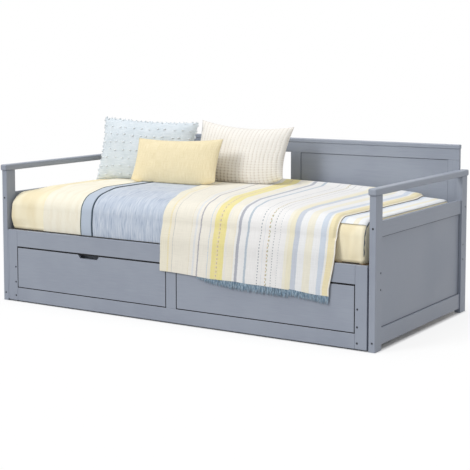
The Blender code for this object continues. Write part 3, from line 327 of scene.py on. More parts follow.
def makeCord(name, path, radius, sides, yarn, body="base"):
    radii = np.broadcast_to(radius, (1, len(path)))
    cord = makeTubes(name, path[None], radii, sides, yarns[yarn])
    if body:
        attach(cord, body)
    return cord


def sheetSize(points):  # width and length along the middle lines, and the whole area
    across = np.linalg.norm(np.diff(points, axis=0), axis=-1).sum(axis=0).max()
    along = np.linalg.norm(np.diff(points, axis=1), axis=-1).sum(axis=1).max()
    first = points[1:, 1:] - points[:-1, :-1]
    second = points[:-1, 1:] - points[1:, :-1]
    area = np.linalg.norm(np.cross(first, second), axis=-1).sum() / 2
    return (float(across), float(along)), float(min(area, across * along))


# The bed under its covers, as the solids have it
bed = dict(
    left=-1.001, right=0.977, front=-0.472, rear=0.446, bottom=0.3598, foot=0.3638,
    edgeTop=0.546, topRadius=0.075, rearRadius=0.035, footRadius=0.015, endRadius=0.020,
    sideBulge=0.004, frontRun=0.125, riseRun=0.080)
bed["middle"] = (bed["front"] + bed["rear"]) / 2
bed["half"] = (bed["rear"] - bed["front"]) / 2
# How far the top rises along the bed: place, crown, and the further rise at its rear
crownLine = [
    (-1.0010, 0.0000, 0.0000), (-0.9496, 0.0133, 0.0024), (-0.9001, 0.0247, 0.0060),
    (-0.7992, 0.0290, 0.0108), (-0.4491, 0.0290, 0.0120), (-0.0001, 0.0270, 0.0120),
    (0.2491, 0.0241, 0.0120), (0.3994, 0.0189, 0.0132), (0.6605, 0.0084, 0.0144),
    (0.7990, 0.0020, 0.0108), (0.8741, -0.0029, 0.0060), (0.9770, -0.0029, 0.0)]


def arcPoints(centre, radius, start, end, count):  # a part of a circle: cosine and sine of a turn
    turn = np.radians(np.linspace(start, end, count))
    return centre[0] + radius * np.cos(turn), centre[1] + radius * np.sin(turn)


def bedSection():
    # The bed's outline from the foot of its front side, over the top, to the rear foot
    foot, top = bed["foot"], bed["edgeTop"]
    frontTop, rearTop = top - bed["topRadius"], top - bed["rearRadius"]
    share = np.linspace(0.0, 1.0, 30)
    bulge = bed["sideBulge"] * np.sin(np.pi * share)
    frontY, frontZ = arcPoints((bed["front"] + bed["topRadius"], frontTop), bed["topRadius"],
                               180, 90, 26)
    rearY, rearZ = arcPoints((bed["rear"] - bed["rearRadius"], rearTop), bed["rearRadius"],
                             90, 0, 14)
    flat = np.linspace(frontY[-1], rearY[0], 60)[1:-1]
    y = np.concatenate([bed["front"] - bulge, frontY[1:], flat, rearY[:-1],
                        (bed["rear"] + bulge)[::-1]])
    z = np.concatenate([foot + (frontTop - foot) * share, frontZ[1:], np.full(len(flat), top),
                        rearZ[:-1], (foot + (rearTop - foot) * share)[::-1]])
    return y, z


def walked(y, z):  # distance along a line of points
    return np.concatenate([[0.0], np.cumsum(np.hypot(np.diff(y), np.diff(z)))])


def facing(y, z, walk):  # outward direction along a line of points: its step turned a quarter
    stepY, stepZ = np.gradient(y, walk), np.gradient(z, walk)
    size = np.hypot(stepY, stepZ)
    return -stepZ / size, stepY / size


bedY, bedZ = bedSection()
bedWalk = walked(bedY, bedZ)
bedFaceY, bedFaceZ = facing(bedY, bedZ, bedWalk)
topStart = bed["edgeTop"] - bed["foot"] + bed["topRadius"] * (math.pi / 2 - 1)
topEnd = bedWalk[-1] - (bed["edgeTop"] - bed["foot"] + bed["rearRadius"] * (math.pi / 2 - 1))


def crownAt(x, y):  # rise of the top: eased in from the front, and once more near the rear
    fromFront = (y - bed["front"]) / (bed["topRadius"] + bed["frontRun"])
    toRear = (bed["rear"] - bed["rearRadius"] - y) / bed["riseRun"]
    return lineAt(crownLine, x) * ease(fromFront) + lineAt(crownLine, x, 2) * ease(1 - toRear)


def lifted(x, y, z):  # the crown at a height on the bed: it fades away down the rear side
    side = (z - bed["foot"]) / (bed["edgeTop"] - bed["rearRadius"] - bed["foot"])
    return z + crownAt(x, y) * np.clip(side, 0.0, 1.0)


def endInset(x):  # how far the rounded ends draw in: a quarter circle
    radius = bed["endRadius"]
    past = np.maximum(bed["left"] + radius - x, x - bed["right"] + radius)
    past = np.clip(past, 0.0, radius)
    return radius - np.sqrt(np.maximum(radius ** 2 - past ** 2, 0.0))


def onBed(x, walk, lift):  # a point walk metres along the section at x, lifted square to it
    y = np.interp(walk, bedWalk, bedY)
    z = lifted(x, y, np.interp(walk, bedWalk, bedZ))
    inset = endInset(x)
    y = y - inset * (y - bed["middle"]) / bed["half"]
    z = z - inset * np.clip((z - bed["foot"]) / (bed["edgeTop"] - bed["foot"]), 0.0, 1.0)
    y = y + lift * np.interp(walk, bedWalk, bedFaceY)
    z = z + lift * np.interp(walk, bedWalk, bedFaceZ)
    return np.stack(np.broadcast_arrays(x, y, z), axis=-1)


def mixed(tree, factor, first, second, way="MIX"):  # colours or sockets; 0 gives the first
    first, second = (linear(one) if isinstance(one, tuple) else one for one in (first, second))
    inputs = {0: factor, 6: first, 7: second}
    return node(tree, "Mix", inputs, data_type="RGBA", blend_type=way).outputs[2]


def feed(tree, shader, **sockets):  # link values to sockets of a shader
    for key, value in sockets.items():
        tree.links.new(value, shader.inputs[key.replace("_", " ")])


def newFinish(name, colour, roughness, **sockets):  # a material with one principled shader
    made = bpy.data.materials.new(name)
    tree = emptyTree(made)
    inputs = {"Base Color": linear(colour), "Roughness": roughness}
    inputs.update({key.replace("_", " "): value for key, value in sockets.items()})
    shader = node(tree, "BsdfPrincipled", inputs)
    node(tree, "OutputMaterial", {0: shader.outputs[0]})
    return made, tree, shader


def noiseOf(tree, place, scale, detail=2.0, rough=0.5, pull=None):  # a pull draws it out
    if pull:
        place = node(tree, "VectorMath", {0: place, 1: pull}, operation="MULTIPLY").outputs[0]
    inputs = {"Vector": place, "Scale": scale, "Detail": detail, "Roughness": rough}
    return node(tree, "TexNoise", inputs).outputs[0]


def pullAlong(grain, share):  # a pull along one axis
    return tuple(share if axis == grain else 1.0 for axis in "XYZ")


def summed(tree, first, share, second, otherShare):  # two tones, each by its share
    return maths(tree, "MULTIPLY_ADD", first, share, maths(tree, "MULTIPLY", second, otherShare))


def tint(tree, shader, tone, reach, deep, pale):  # deep to pale between two levels of a tone
    feed(tree, shader, Base_Color=mixed(tree, span(tree, tone, *reach), deep, pale))


def bumpOn(tree, shader, *layers):  # heights with their depths in metres, each over the last
    under = None
    for height, depth in layers:
        inputs = {"Height": height, "Distance": depth, "Strength": 1.0}
        if under is not None:
            inputs["Normal"] = under
        under = node(tree, "Bump", inputs).outputs[0]
    feed(tree, shader, Normal=under)


def objectPlace(tree):
    return node(tree, "TexCoord").outputs["Object"]


def clothPlace(tree):  # the piece's own map in metres: both together, across and along
    both = node(tree, "UVMap", uv_map="clothUV").outputs[0]
    parts = node(tree, "SeparateXYZ", {0: both})
    return both, parts.outputs[0], parts.outputs[1]


def levelOf(tree):  # the height of the weave that a piece keeps at its points, 0 to 1
    return node(tree, "Attribute", attribute_name="level").outputs["Fac"]


def weave(tree, across, along, warp, weft=None):  # threads over and under at their pitches
    over, under = (maths(tree, "SINE", maths(tree, "MULTIPLY", part, 2 * math.pi / pitch))
                   for part, pitch in ((across, warp), (along, weft or warp)))
    return maths(tree, "MULTIPLY_ADD", maths(tree, "MULTIPLY", over, under), 0.5, 0.5)


paint = dict(
    deep=(147, 154, 168), plain=(150, 157, 171), pale=(154, 161, 174), reach=(0.36, 0.64),
    brushScale=260.0, brushPull=0.04, brushDepth=0.00005, peelScale=420.0, peelDepth=0.00004,
    cloudScale=5.0, roughness=(0.36, 0.50))


def paintFinish(grain):
    # Satin paint on wood: brush lines along the grain, a fine orange peel and faint clouds
    made, tree, shader = newFinish("blueGreyPaint" + grain, paint["plain"], 0.42,
                                   Specular_IOR_Level=0.45)
    place = objectPlace(tree)
    lines = noiseOf(tree, place, paint["brushScale"], 3.0, 0.6,
                    pullAlong(grain, paint["brushPull"]))
    cloud = noiseOf(tree, place, paint["cloudScale"])
    peel = noiseOf(tree, place, paint["peelScale"], 1.0)
    tone = summed(tree, lines, 0.45, cloud, 0.55)
    tint(tree, shader, tone, paint["reach"], paint["deep"], paint["pale"])
    feed(tree, shader, Roughness=span(tree, cloud, 0.3, 0.7, *paint["roughness"]))
    bumpOn(tree, shader, (lines, paint["brushDepth"]), (peel, paint["peelDepth"]))
    return made


def woodFinish(name, pale, dark, grain, roughness):
    # Bare wood: growth lines drawn out along the grain, and pores
    made, tree, shader = newFinish(name, pale, roughness)
    place, pull = objectPlace(tree), pullAlong(grain, 0.05)
    rings = noiseOf(tree, place, 70.0, 4.0, 0.65, pull)
    pores = noiseOf(tree, place, 600.0, pull=pull)
    colour = mixed(tree, span(tree, rings, 0.35, 0.68), pale, dark)
    colour = mixed(tree, span(tree, pores, 0.60, 0.75, 0.0, 0.35), colour, dark)
    feed(tree, shader, Base_Color=colour)
    bumpOn(tree, shader, (rings, 0.00015))
    return made


def plasticFinish():
    made, tree, shader = newFinish("blackGlide", (38, 38, 41), 0.45)
    grit = noiseOf(tree, objectPlace(tree), 900.0)
    feed(tree, shader, Roughness=span(tree, grit, 0.3, 0.7, 0.38, 0.55))
    bumpOn(tree, shader, (grit, 0.00004))
    return made


def steelFinish():
    # Darkened zinc: fine mottling with a low gloss
    made, tree, shader = newFinish("darkZinc", (78, 82, 88), 0.38, Metallic=0.9)
    grit = noiseOf(tree, objectPlace(tree), 1500.0, 3.0)
    feed(tree, shader, Base_Color=mixed(tree, grit, (60, 64, 70), (100, 104, 110)),
         Roughness=span(tree, grit, 0.3, 0.7, 0.3, 0.5))
    return made


# The yellow cotton: pale is the cloth, deep the cloth under painted shade in its creases
sheetLook = dict(
    pale=(249, 240, 211), deep=(239, 226, 190), creaseDepth=0.0016, threadDepth=0.00005)


def sheetFinish():
    # Fitted sheet: smooth yellow cotton with broad soft creases that run down the side, darkened
    # there by painted shade
    look = sheetLook
    made, tree, shader = newFinish("yellowCotton", look["pale"], 0.85, Sheen_Weight=0.10)
    place = objectPlace(tree)
    creasesAndShade = noiseOf(tree, place, 16.0, 2.0, 0.45, (1.0, 0.35, 0.35))
    thread = noiseOf(tree, place, 1100.0, 1.0)
    tint(tree, shader, creasesAndShade, (0.30, 0.72), look["deep"], look["pale"])
    bumpOn(tree, shader, (creasesAndShade, look["creaseDepth"]), (thread, look["threadDepth"]))
    return made


# Bands of the top sheet: where each lies in one repeat, its half width and its colour
topSheetLook = dict(
    white=(236, 238, 239), repeat=0.136,
    bands=[(0.30, 0.10, (214, 223, 234)), (0.78, 0.09, (238, 233, 214))])


def topSheetFinish():
    # Flat sheet: broad white, pale blue and cream bands that run from front to back
    colour = topSheetLook["white"]
    made, tree, shader = newFinish("bandedCotton", colour, 0.85, Sheen_Weight=0.10)
    both, across, along = clothPlace(tree)
    turn = maths(tree, "FRACT", maths(tree, "DIVIDE", across, topSheetLook["repeat"]))
    for middle, half, band in topSheetLook["bands"]:
        colour = mixed(tree, maths(tree, "COMPARE", turn, middle, half), colour, band)
    feed(tree, shader, Base_Color=colour)
    bumpOn(tree, shader, (noiseOf(tree, both, 22.0), 0.0008),
           (weave(tree, across, along, 0.0012), 0.00004))
    return made


# The cream: pale on the raised quilting, deep where painted shade lies in its low parts
quiltLook = dict(
    pale=(245, 240, 223), deep=(240, 233, 213), puckerDepth=0.0010, threadDepth=0.00006)


def quiltFinish():
    # Quilted cream cotton: fine puckers drawn out from front to back over the raised channels, with
    # painted shade where the quilting lies low
    look = quiltLook
    made, tree, shader = newFinish("creamQuilting", look["pale"], 0.88, Sheen_Weight=0.12)
    both, across, along = clothPlace(tree)
    puckers = noiseOf(tree, both, 150.0, 2.0, 0.55, (1.0, 0.22, 1.0))
    tone = summed(tree, levelOf(tree), 0.6, puckers, 0.5)
    tint(tree, shader, tone, (0.25, 0.75), look["deep"], look["pale"])
    bumpOn(tree, shader, (puckers, look["puckerDepth"]),
           (weave(tree, across, along, 0.0011), look["threadDepth"]))
    return made


# The blanket's blues: pale is a painted highlight, plain the cloth, deep painted shade, border the
# band's own blue
blanketLook = dict(
    pale=(206, 214, 226), plain=(188, 199, 215), deep=(160, 174, 196), border=(183, 195, 211),
    bodyStart=-0.474, streakDepth=0.0012, threadDepth=0.00010, crease=-0.160,
    creaseHalf=0.0016, creaseLean=0.006)


def blanketFinish():
    # Crinkled blue cotton with thin uneven yarn streaks: a painted highlight on the ridges, and
    # painted shade in the hollows and along one crease. The border band left of the body is smooth.
    look = blanketLook
    made, tree, shader = newFinish("crinkledBlueCotton", look["plain"], 0.88, Sheen_Weight=0.45)
    both, across, along = clothPlace(tree)
    streaks = noiseOf(tree, both, 260.0, 2.0, 0.6, (1.0, 0.10, 1.0))
    body = maths(tree, "GREATER_THAN", across, look["bodyStart"])
    tone = summed(tree, levelOf(tree), 0.55, streaks, 0.55)
    ribbed = mixed(tree, span(tree, tone, 0.30, 0.50), look["deep"], look["plain"])
    ribbed = mixed(tree, span(tree, tone, 0.50, 0.72), ribbed, look["pale"])
    # Painted shade along the crease: a thin line that wavers with the streaks
    lean = maths(tree, "SUBTRACT", across, look["creaseLean"] / 2)
    lean = maths(tree, "MULTIPLY_ADD", streaks, look["creaseLean"], lean)
    crease = maths(tree, "COMPARE", lean, look["crease"], look["creaseHalf"])
    ribbed = mixed(tree, maths(tree, "MULTIPLY", crease, 0.6), ribbed, look["deep"])
    feed(tree, shader, Base_Color=mixed(tree, body, look["border"], ribbed))
    height = maths(tree, "MULTIPLY", streaks, maths(tree, "MULTIPLY_ADD", body, 0.8, 0.2))
    bumpOn(tree, shader, (height, look["streakDepth"]),
           (weave(tree, across, along, 0.0016), look["threadDepth"]))
    return made


def yarnFinish(name, pale, deep, roughness=0.85):
    # Twisted yarn or cord: light and dark fibres in short flecks
    made, tree, shader = newFinish(name, pale, roughness, Sheen_Weight=0.10)
    flecks = noiseOf(tree, objectPlace(tree), 700.0, 2.0, 0.6)
    tint(tree, shader, flecks, (0.32, 0.68), deep, pale)
    bumpOn(tree, shader, (flecks, 0.0002))
    return made


# Stripes of the throw from its left edge: where each starts, in metres on the cloth, and its
# colour
throwStripes = [
    (-0.060, (238, 232, 212)), (-0.020, (237, 228, 200)), (-0.006, (238, 232, 216)),
    (0.0105, (210, 208, 200)), (0.0140, (238, 233, 219)), (0.104, (231, 224, 204)),
    (0.110, (238, 234, 223)), (0.128, (227, 228, 228)), (0.137, (239, 235, 226)),
    (0.1530, (178, 176, 182)), (0.1615, (239, 235, 224)), (0.2055, (206, 214, 221)),
    (0.2095, (238, 233, 218)), (0.230, (238, 226, 156)), (0.293, (237, 233, 224)),
    (0.308, (240, 235, 220)), (0.336, (239, 232, 214)), (0.345, (238, 237, 234)),
    (0.357, (176, 178, 188)), (0.369, (236, 236, 236)), (0.405, (184, 195, 206)),
    (0.4135, (238, 237, 236)), (0.604, (238, 234, 218)), (0.618, (236, 230, 206)),
    (0.644, (200, 206, 217)), (0.668, (236, 237, 238)), (0.701, (236, 232, 216)),
    (0.739, (236, 237, 238)), (0.774, (206, 215, 227)), (0.801, (237, 236, 231)),
    (0.815, (237, 225, 186)), (0.848, (239, 235, 224))]
# Dotted lines: where, half width, dot pitch, colour
throwDots = [
    (0.260, 0.0065, 0.0130, (234, 219, 182)), (0.262, 0.0018, 0.0190, (186, 168, 150)),
    (0.477, 0.0022, 0.0130, (146, 152, 162)), (0.496, 0.0012, 0.0050, (196, 204, 214)),
    (0.518, 0.0026, 0.0150, (206, 184, 148)), (0.522, 0.0020, 0.0210, (174, 182, 156)),
    (0.546, 0.0020, 0.0120, (158, 161, 166)), (0.574, 0.0018, 0.0110, (196, 198, 201)),
    (-0.011, 0.0022, 0.0100, (237, 224, 170))]
throwLook = dict(
    left=-0.060, start=-0.0575, span=0.930, feather=0.005, waver=0.0022, dotBeat=0.1,
    threadDepth=0.00016, slubDepth=0.0005, warp=0.0024, weft=0.0020)


def throwFinish():
    # Striped hand-woven cotton: stripes follow the cloth's own width, dots its length, and
    # uneven yarns darken and lighten both
    look = throwLook
    made, tree, shader = newFinish("stripedThrow", (246, 241, 226), 0.9, Sheen_Weight=0.25)
    both, across, along = clothPlace(tree)
    waver = noiseOf(tree, both, 60.0, pull=(0.4, 1.0, 1.0))
    shifted = maths(tree, "SUBTRACT", across, look["waver"] / 2)
    shifted = maths(tree, "MULTIPLY_ADD", waver, look["waver"], shifted)
    feather = noiseOf(tree, both, 900.0, 1.0, pull=(1.0, 0.12, 1.0))
    soft = maths(tree, "MULTIPLY_ADD", feather, look["feather"], shifted)
    share = maths(tree, "DIVIDE", maths(tree, "SUBTRACT", soft, look["start"]), look["span"])
    ramp = node(tree, "ValToRGB", {0: share})
    ramp.color_ramp.interpolation = "CONSTANT"
    stops = ramp.color_ramp.elements
    stops.remove(stops[1])
    for index, (start, stripe) in enumerate(throwStripes):
        stop = stops.new((start - look["left"]) / look["span"]) if index else stops[0]
        stop.color = linear(stripe)
    colour = ramp.outputs[0]
    for centre, halfWidth, pitch, dotColour in throwDots:
        near = maths(tree, "COMPARE", shifted, centre, halfWidth)
        beat = maths(tree, "SINE", maths(tree, "MULTIPLY", along, 2 * math.pi / pitch))
        dot = maths(tree, "GREATER_THAN", beat, look["dotBeat"])
        colour = mixed(tree, maths(tree, "MULTIPLY", near, dot), colour, dotColour)
    yarnsAcross = noiseOf(tree, both, 420.0, 2.0, 0.6, (1.0, 0.03, 1.0))
    picks = noiseOf(tree, both, 320.0, 2.0, 0.6, (0.04, 1.0, 1.0))
    tone = summed(tree, yarnsAcross, 0.6, picks, 0.4)
    shade = span(tree, tone, 0.34, 0.62, 0.93, 1.02)
    shades = node(tree, "CombineXYZ", {0: shade, 1: shade, 2: shade}).outputs[0]
    feed(tree, shader, Base_Color=mixed(tree, 1.0, colour, shades, "MULTIPLY"))
    bumpOn(tree, shader, (tone, look["slubDepth"]),
           (weave(tree, across, along, look["warp"], look["weft"]), look["threadDepth"]))
    return made


def fringeFinish():
    # Loose steel-blue yarns: whole strands lighter or darker than their neighbours
    made, tree, shader = newFinish("steelBlueYarn", (150, 176, 196), 0.85, Sheen_Weight=0.10)
    place = objectPlace(tree)
    strands = noiseOf(tree, place, 430.0, pull=(1.0, 0.4, 0.16))
    tint(tree, shader, strands, (0.34, 0.66), (110, 138, 162), (186, 206, 220))
    bumpOn(tree, shader, (noiseOf(tree, place, 800.0), 0.0002))
    return made


def bluePillowFinish():
    # Pale blue-grey cotton with faint cross ribs between the rows of knots
    made, tree, shader = newFinish("paleBlueCotton", (222, 231, 237), 0.88, Sheen_Weight=0.15)
    both, across, along = clothPlace(tree)
    ribs = noiseOf(tree, both, 210.0, 2.0, 0.55, (0.12, 1.0, 1.0))
    tone = summed(tree, ribs, 0.6, noiseOf(tree, both, 14.0), 0.4)
    tint(tree, shader, tone, (0.32, 0.66), (208, 219, 226), (224, 232, 238))
    bumpOn(tree, shader, (ribs, 0.0009), (weave(tree, across, along, 0.0018), 0.00012))
    return made


def lumbarFinish():
    # Yellow linen: thin slubs both ways, the upright ones stronger
    made, tree, shader = newFinish("yellowLinen", (240, 224, 172), 0.86, Sheen_Weight=0.15)
    both, across, along = clothPlace(tree)
    warps, wefts = (noiseOf(tree, both, 380.0, 2.0, 0.6, pull)
                    for pull in ((1.0, 0.05, 1.0), (0.05, 1.0, 1.0)))
    tone = summed(tree, warps, 0.65, wefts, 0.35)
    tint(tree, shader, tone, (0.34, 0.64), (229, 214, 171), (241, 228, 193))
    bumpOn(tree, shader, (tone, 0.0007), (weave(tree, across, along, 0.0015), 0.00010))
    return made


# cream and grey: the ridges; hollow: the hollows in painted shade; brown: brown yarn and the
# painted shadow of the yellow pillow, at the lower left
wovenLook = dict(
    cream=(243, 240, 234), hollow=(206, 197, 186), brown=(120, 97, 78), grey=(236, 232, 225),
    brownFrom=0.10, brownTo=-0.17)


def wovenFinish():
    # Chunky waffle weave: cream ridges, hollows darker grey-brown with painted shade, and towards a
    # lower corner browner yarn together with the painted shadow of the yellow pillow in front of it
    look = wovenLook
    made, tree, shader = newFinish("creamWaffleWeave", look["cream"], 0.9, Sheen_Weight=0.15)
    both, across, along = clothPlace(tree)
    patch = noiseOf(tree, both, 9.0)
    corner = maths(tree, "ADD", summed(tree, across, 0.9, along, 1.5), 0.12)
    corner = maths(tree, "MULTIPLY_ADD", patch, 0.16, corner)
    brownYarnAndShadow = span(tree, corner, look["brownFrom"], look["brownTo"])
    hollow = mixed(tree, brownYarnAndShadow, look["hollow"], look["brown"])
    ridge = mixed(tree, span(tree, patch, 0.35, 0.65, 0.0, 0.5), look["cream"], look["grey"])
    ridge = mixed(tree, maths(tree, "MULTIPLY", brownYarnAndShadow, 0.30), ridge, look["brown"])
    tint(tree, shader, levelOf(tree), (0.10, 0.85), hollow, ridge)
    bumpOn(tree, shader, (noiseOf(tree, both, 500.0, 2.0, 0.6), 0.0005))
    return made


slatWood = woodFinish("sawnPine", (222, 194, 152), (186, 146, 98), "Y", 0.72)
boardWood = woodFinish("drawerBoard", (206, 190, 164), (182, 162, 134), "X", 0.62)
paints = {grain: paintFinish(grain) for grain in "XYZ"}
glideBlack, zinc = plasticFinish(), steelFinish()
yellowCotton, bandedCotton = sheetFinish(), topSheetFinish()
creamQuilting, blueCotton = quiltFinish(), blanketFinish()
stripedCotton, fringeYarn = throwFinish(), fringeFinish()
paleBlueCotton, yellowLinen, waffleWeave = bluePillowFinish(), lumbarFinish(), wovenFinish()
# Cords, and dark cords and strips of painted shade: the pale and the deep flecks, and how rough
# where that differs
yarnColours = {
    "footShadeDark": ((62, 60, 54), (42, 42, 42)), "gapShadeDark": ((20, 21, 25), (12, 13, 16), 0.95),
    "grooveShade": ((78, 83, 92), (64, 69, 77), 0.7),
    "slatePipingAndShade": ((78, 94, 106), (56, 70, 84)), "sagePiping": ((116, 128, 126), (92, 104, 106)),
    "greySeamAndShade": ((176, 172, 160), (140, 138, 130)),
    "brownEdgeShade": ((150, 132, 106), (112, 98, 80)),
    "paleBlueYarn": ((240, 244, 247), (216, 225, 231))}
yarns = {name: yarnFinish(name, *look) for name, look in yarnColours.items()}
print("finishes made")

# Which way the grain runs in the painted boards, by words in their names
grainWords = [
    ("post", "Z"), ("stile", "Z"), ("partition", "Z"), ("panel", "X"), ("arm", "Y"),
    ("end_", "Y"), ("frame_left_side", "Y"), ("frame_right_side", "Y")]


def finishFor(name):
    if "slats" in name or "runner" in name:
        return slatWood
    if "glide" in name:
        return glideBlack
    if "drawer_" in name and not name.endswith("front"):
        return boardWood
    return paints[next((grain for word, grain in grainWords if word in name), "X")]


softNodes = {"mattress", "quilt", "blanket", "throw_top", "throw_drop", "throw_flap",
             "blue_pillow", "lumbar_pillow", "woven_pillow"}
for name, solid in cadNodes.items():
    if name not in softNodes:
        solid.data.materials.clear()
        solid.data.materials.append(finishFor(name))
print("frame boards finished")


def settle(made, body="base", solid=None):  # what a piece is to the frame
    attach(made, body)
    if solid:
        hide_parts(solid)


mattressLook = dict(
    foldDepth=0.0022, foldPitch=0.055, smallPitch=0.023, foldRest=0.4, endBulge=0.001,
    seamRise=0.0012, seamLevel=0.10, cornerOut=0.010, cornerLeft=0.0065, cornerIn=0.001,
    endFolds=1.1, capShares=(0.9, 0.75, 0.55, 0.35, 0.16), fill=0.9)
# A dark cord of painted shade down the mattress's right front corner
cornerShadeCord = dict(start=0.035, short=0.015, inset=0.0055, lift=0.0006, radius=0.0018,
                    wobble=0.0010, beat=150.0, points=60)


def makeMattress():
    # Rings of the bed's section along its length, drawn in at both ends by a quarter circle and
    # closed over the end faces by shrinking rings. The sides stand in and out in soft folds:
    # lattice noise along the length, leaning a little, that fades into the top and the foot.
    look, radius, middle, half = mattressLook, bed["footRadius"], bed["middle"], bed["half"]
    footY, footZ = arcPoints((bed["front"] + radius, bed["bottom"] + radius), radius,
                             -90, -180, 7)
    footY, footZ = footY[:-1], footZ[:-1]
    keep = (bedZ > bed["bottom"] + radius) | (np.abs(bedY) < 0.3)
    under = np.linspace(bed["rear"] - radius, bed["front"] + radius, 14)[1:-1]
    ringY = np.concatenate([footY, bedY[keep], 2 * middle - footY[::-1], under])
    ringZ = np.concatenate([footZ, bedZ[keep], footZ[::-1], np.full(len(under), bed["bottom"])])
    run = bed["endRadius"] * (1 - np.cos(np.linspace(0, np.pi / 2, 12)))
    between = stations((bed["left"] + bed["endRadius"], -0.52, 90), (-0.52, 0.80, 40),
                       (0.80, bed["right"] - bed["endRadius"], 36))[1:-1]
    x = np.concatenate([bed["left"] + run, between, bed["right"] - run[::-1]])
    X, Y = np.meshgrid(x, ringY, indexing="ij")
    Z = np.broadcast_to(ringZ, X.shape)
    level = (Z - bed["bottom"]) / (bed["edgeTop"] - bed["bottom"])
    Z = lifted(X, Y, Z)
    side = np.sign(Y - middle)
    sideness = np.clip((np.abs(Y - middle) / half - 0.9) / 0.1, 0.0, 1.0)
    fold = softNoise((X + 0.10 * Z) / look["foldPitch"], Z * 3.0 + side, 11)
    fold += 0.5 * softNoise((X - 0.06 * Z) / look["smallPitch"], Z * 5.0 + side, 12)
    fade = bounded(level, 0.02, 0.95, 0.22) * sideness
    deeper = 1 + look["endFolds"] * rise(X, 0.85, 0.04)
    out = look["foldDepth"] * (fold - look["foldRest"]) * fade * deeper
    seam = look["seamRise"] * np.exp(-((level - look["seamLevel"]) / 0.02) ** 2) * sideness
    inset = endInset(X)
    Y = Y - (Y - middle) / half * inset + side * (out + seam)
    Z = Z + inset * (1 - 2 * np.minimum(level, 1.0))
    front = ease((middle - Y) / half * 3 - 1.6)
    leftCorner = rise(X, -0.86, -0.12) * bounded(level, 0.0, 1.02, 0.35)
    Y = Y - look["cornerOut"] * leftCorner * front
    X = X - look["cornerLeft"] * leftCorner - look["cornerIn"] * rise(X, 0.93, 0.04) * front
    points = np.stack([X, Y, Z], axis=-1)
    centre = np.array([0.0, middle, (bed["bottom"] + bed["edgeTop"]) / 2])
    shares = np.array(look["capShares"])[:, None, None]
    caps = []
    for row, way in ((0, -1.0), (-1, 1.0)):
        cap = centre + (points[row] - centre) * shares
        cap[..., 0] = points[row][:, 0] + way * look["endBulge"] * (1 - shares[:, 0] ** 2)
        caps.append(cap)
    points = np.concatenate([caps[0][::-1], points, caps[1]])
    ends = points[[0, -1]].mean(axis=1)
    made = closedRings("dressedMattress", points[None], ends[None], yellowCotton, way=1)
    settle(made, solid="mattress")
    # Painted shade: a dark wavy cord down the right front corner stands for the shadow in the gap
    # beside the post
    look = cornerShadeCord
    along = np.linspace(look["start"], topStart - look["short"], look["points"])
    wobble = look["wobble"] * np.sin(along * look["beat"])
    path = onBed(np.full(along.shape, bed["right"] - look["inset"]), along, look["lift"])
    path[:, 0] += wobble
    makeCord("mattressCornerShade", path, look["radius"] + wobble * 0.6, 8, "slatePipingAndShade")


# A dark cord of painted shade along the foot of the bed
footShade = dict(
    pieces={"footShadeLeft": (-0.985, -0.075), "footShadeRight": (0.872, 0.952)}, height=0.3664,
    radius=0.0023, clear=0.0006, points=160,
    steps=[(-1.0, 0.0), (-0.795, 0.0), (-0.790, 0.0062), (-0.550, 0.0062), (-0.545, 0.0116),
           (-0.07, 0.0116), (0.86, 0.0006), (0.97, 0.0006)])


def makeFootShade():
    # Painted shade: a dark cord along the mattress's foot stands for the shadow in the gap above
    # the frame's top rail. It is pushed out by the covers that hang to it
    for name, (start, end) in footShade["pieces"].items():
        x = np.linspace(start, end, footShade["points"])
        out = footShade["radius"] + footShade["clear"] + lineAt(footShade["steps"], x)
        path = np.stack([x, bed["front"] - out, np.full(len(x), footShade["height"])], axis=-1)
        makeCord(name, path, footShade["radius"], 8, "footShadeDark")


def clothGrid(x, walk):  # a grid of cloth places, and the same as a map in metres
    X, along = np.meshgrid(x, walk, indexing="ij")
    return X, along, np.stack([X, along], axis=-1)


def coverWalk(fine):  # stations over the bed from front foot to rear foot, closest at the edges
    total = bedWalk[-1]
    return stations((0.0, 0.004, 2), (0.004, topStart, fine), (topStart, topEnd, fine),
                    (topEnd, total - 0.004, fine // 2), (total - 0.004, total, 2))


def makeCover(shape, grid, height, level, finish):
    # The bed's section lifted by what lies under the cloth, and thinner at the cloth's left rim.
    # Its cords run from the front foot to the rear foot.
    X, walk, uv = grid
    rim = np.sqrt(np.clip((X - shape["left"]) / shape["rim"], 0.0, 1.0))
    outer = onBed(X, walk, shape["lift"] + height * (0.35 + 0.65 * rim))
    made = makeSheet(shape["name"], outer, onBed(X, walk, shape["lift"]), uv, finish,
                     level=level)
    settle(made, solid=shape["solid"])
    along = np.linspace(0.002, bedWalk[-1] - 0.002, 150)
    cords = [makeCord(name, onBed(np.full(along.shape, shape[place]), along, lift), radius, 10,
                      yarn) for name, place, lift, radius, yarn in shape["cords"]]
    flat, area = sheetSize(onBed(X, walk, shape["lift"] + shape["middle"]))


quiltShape = dict(
    name="creamQuilt", solid="quilt", slot="quilt_cloth", under="dressedMattress", cords=[],
    left=-0.790, right=0.828, lift=0.0004, thickness=0.0056, middle=0.003, rim=0.006,
    channel=0.052, puff=0.0005)


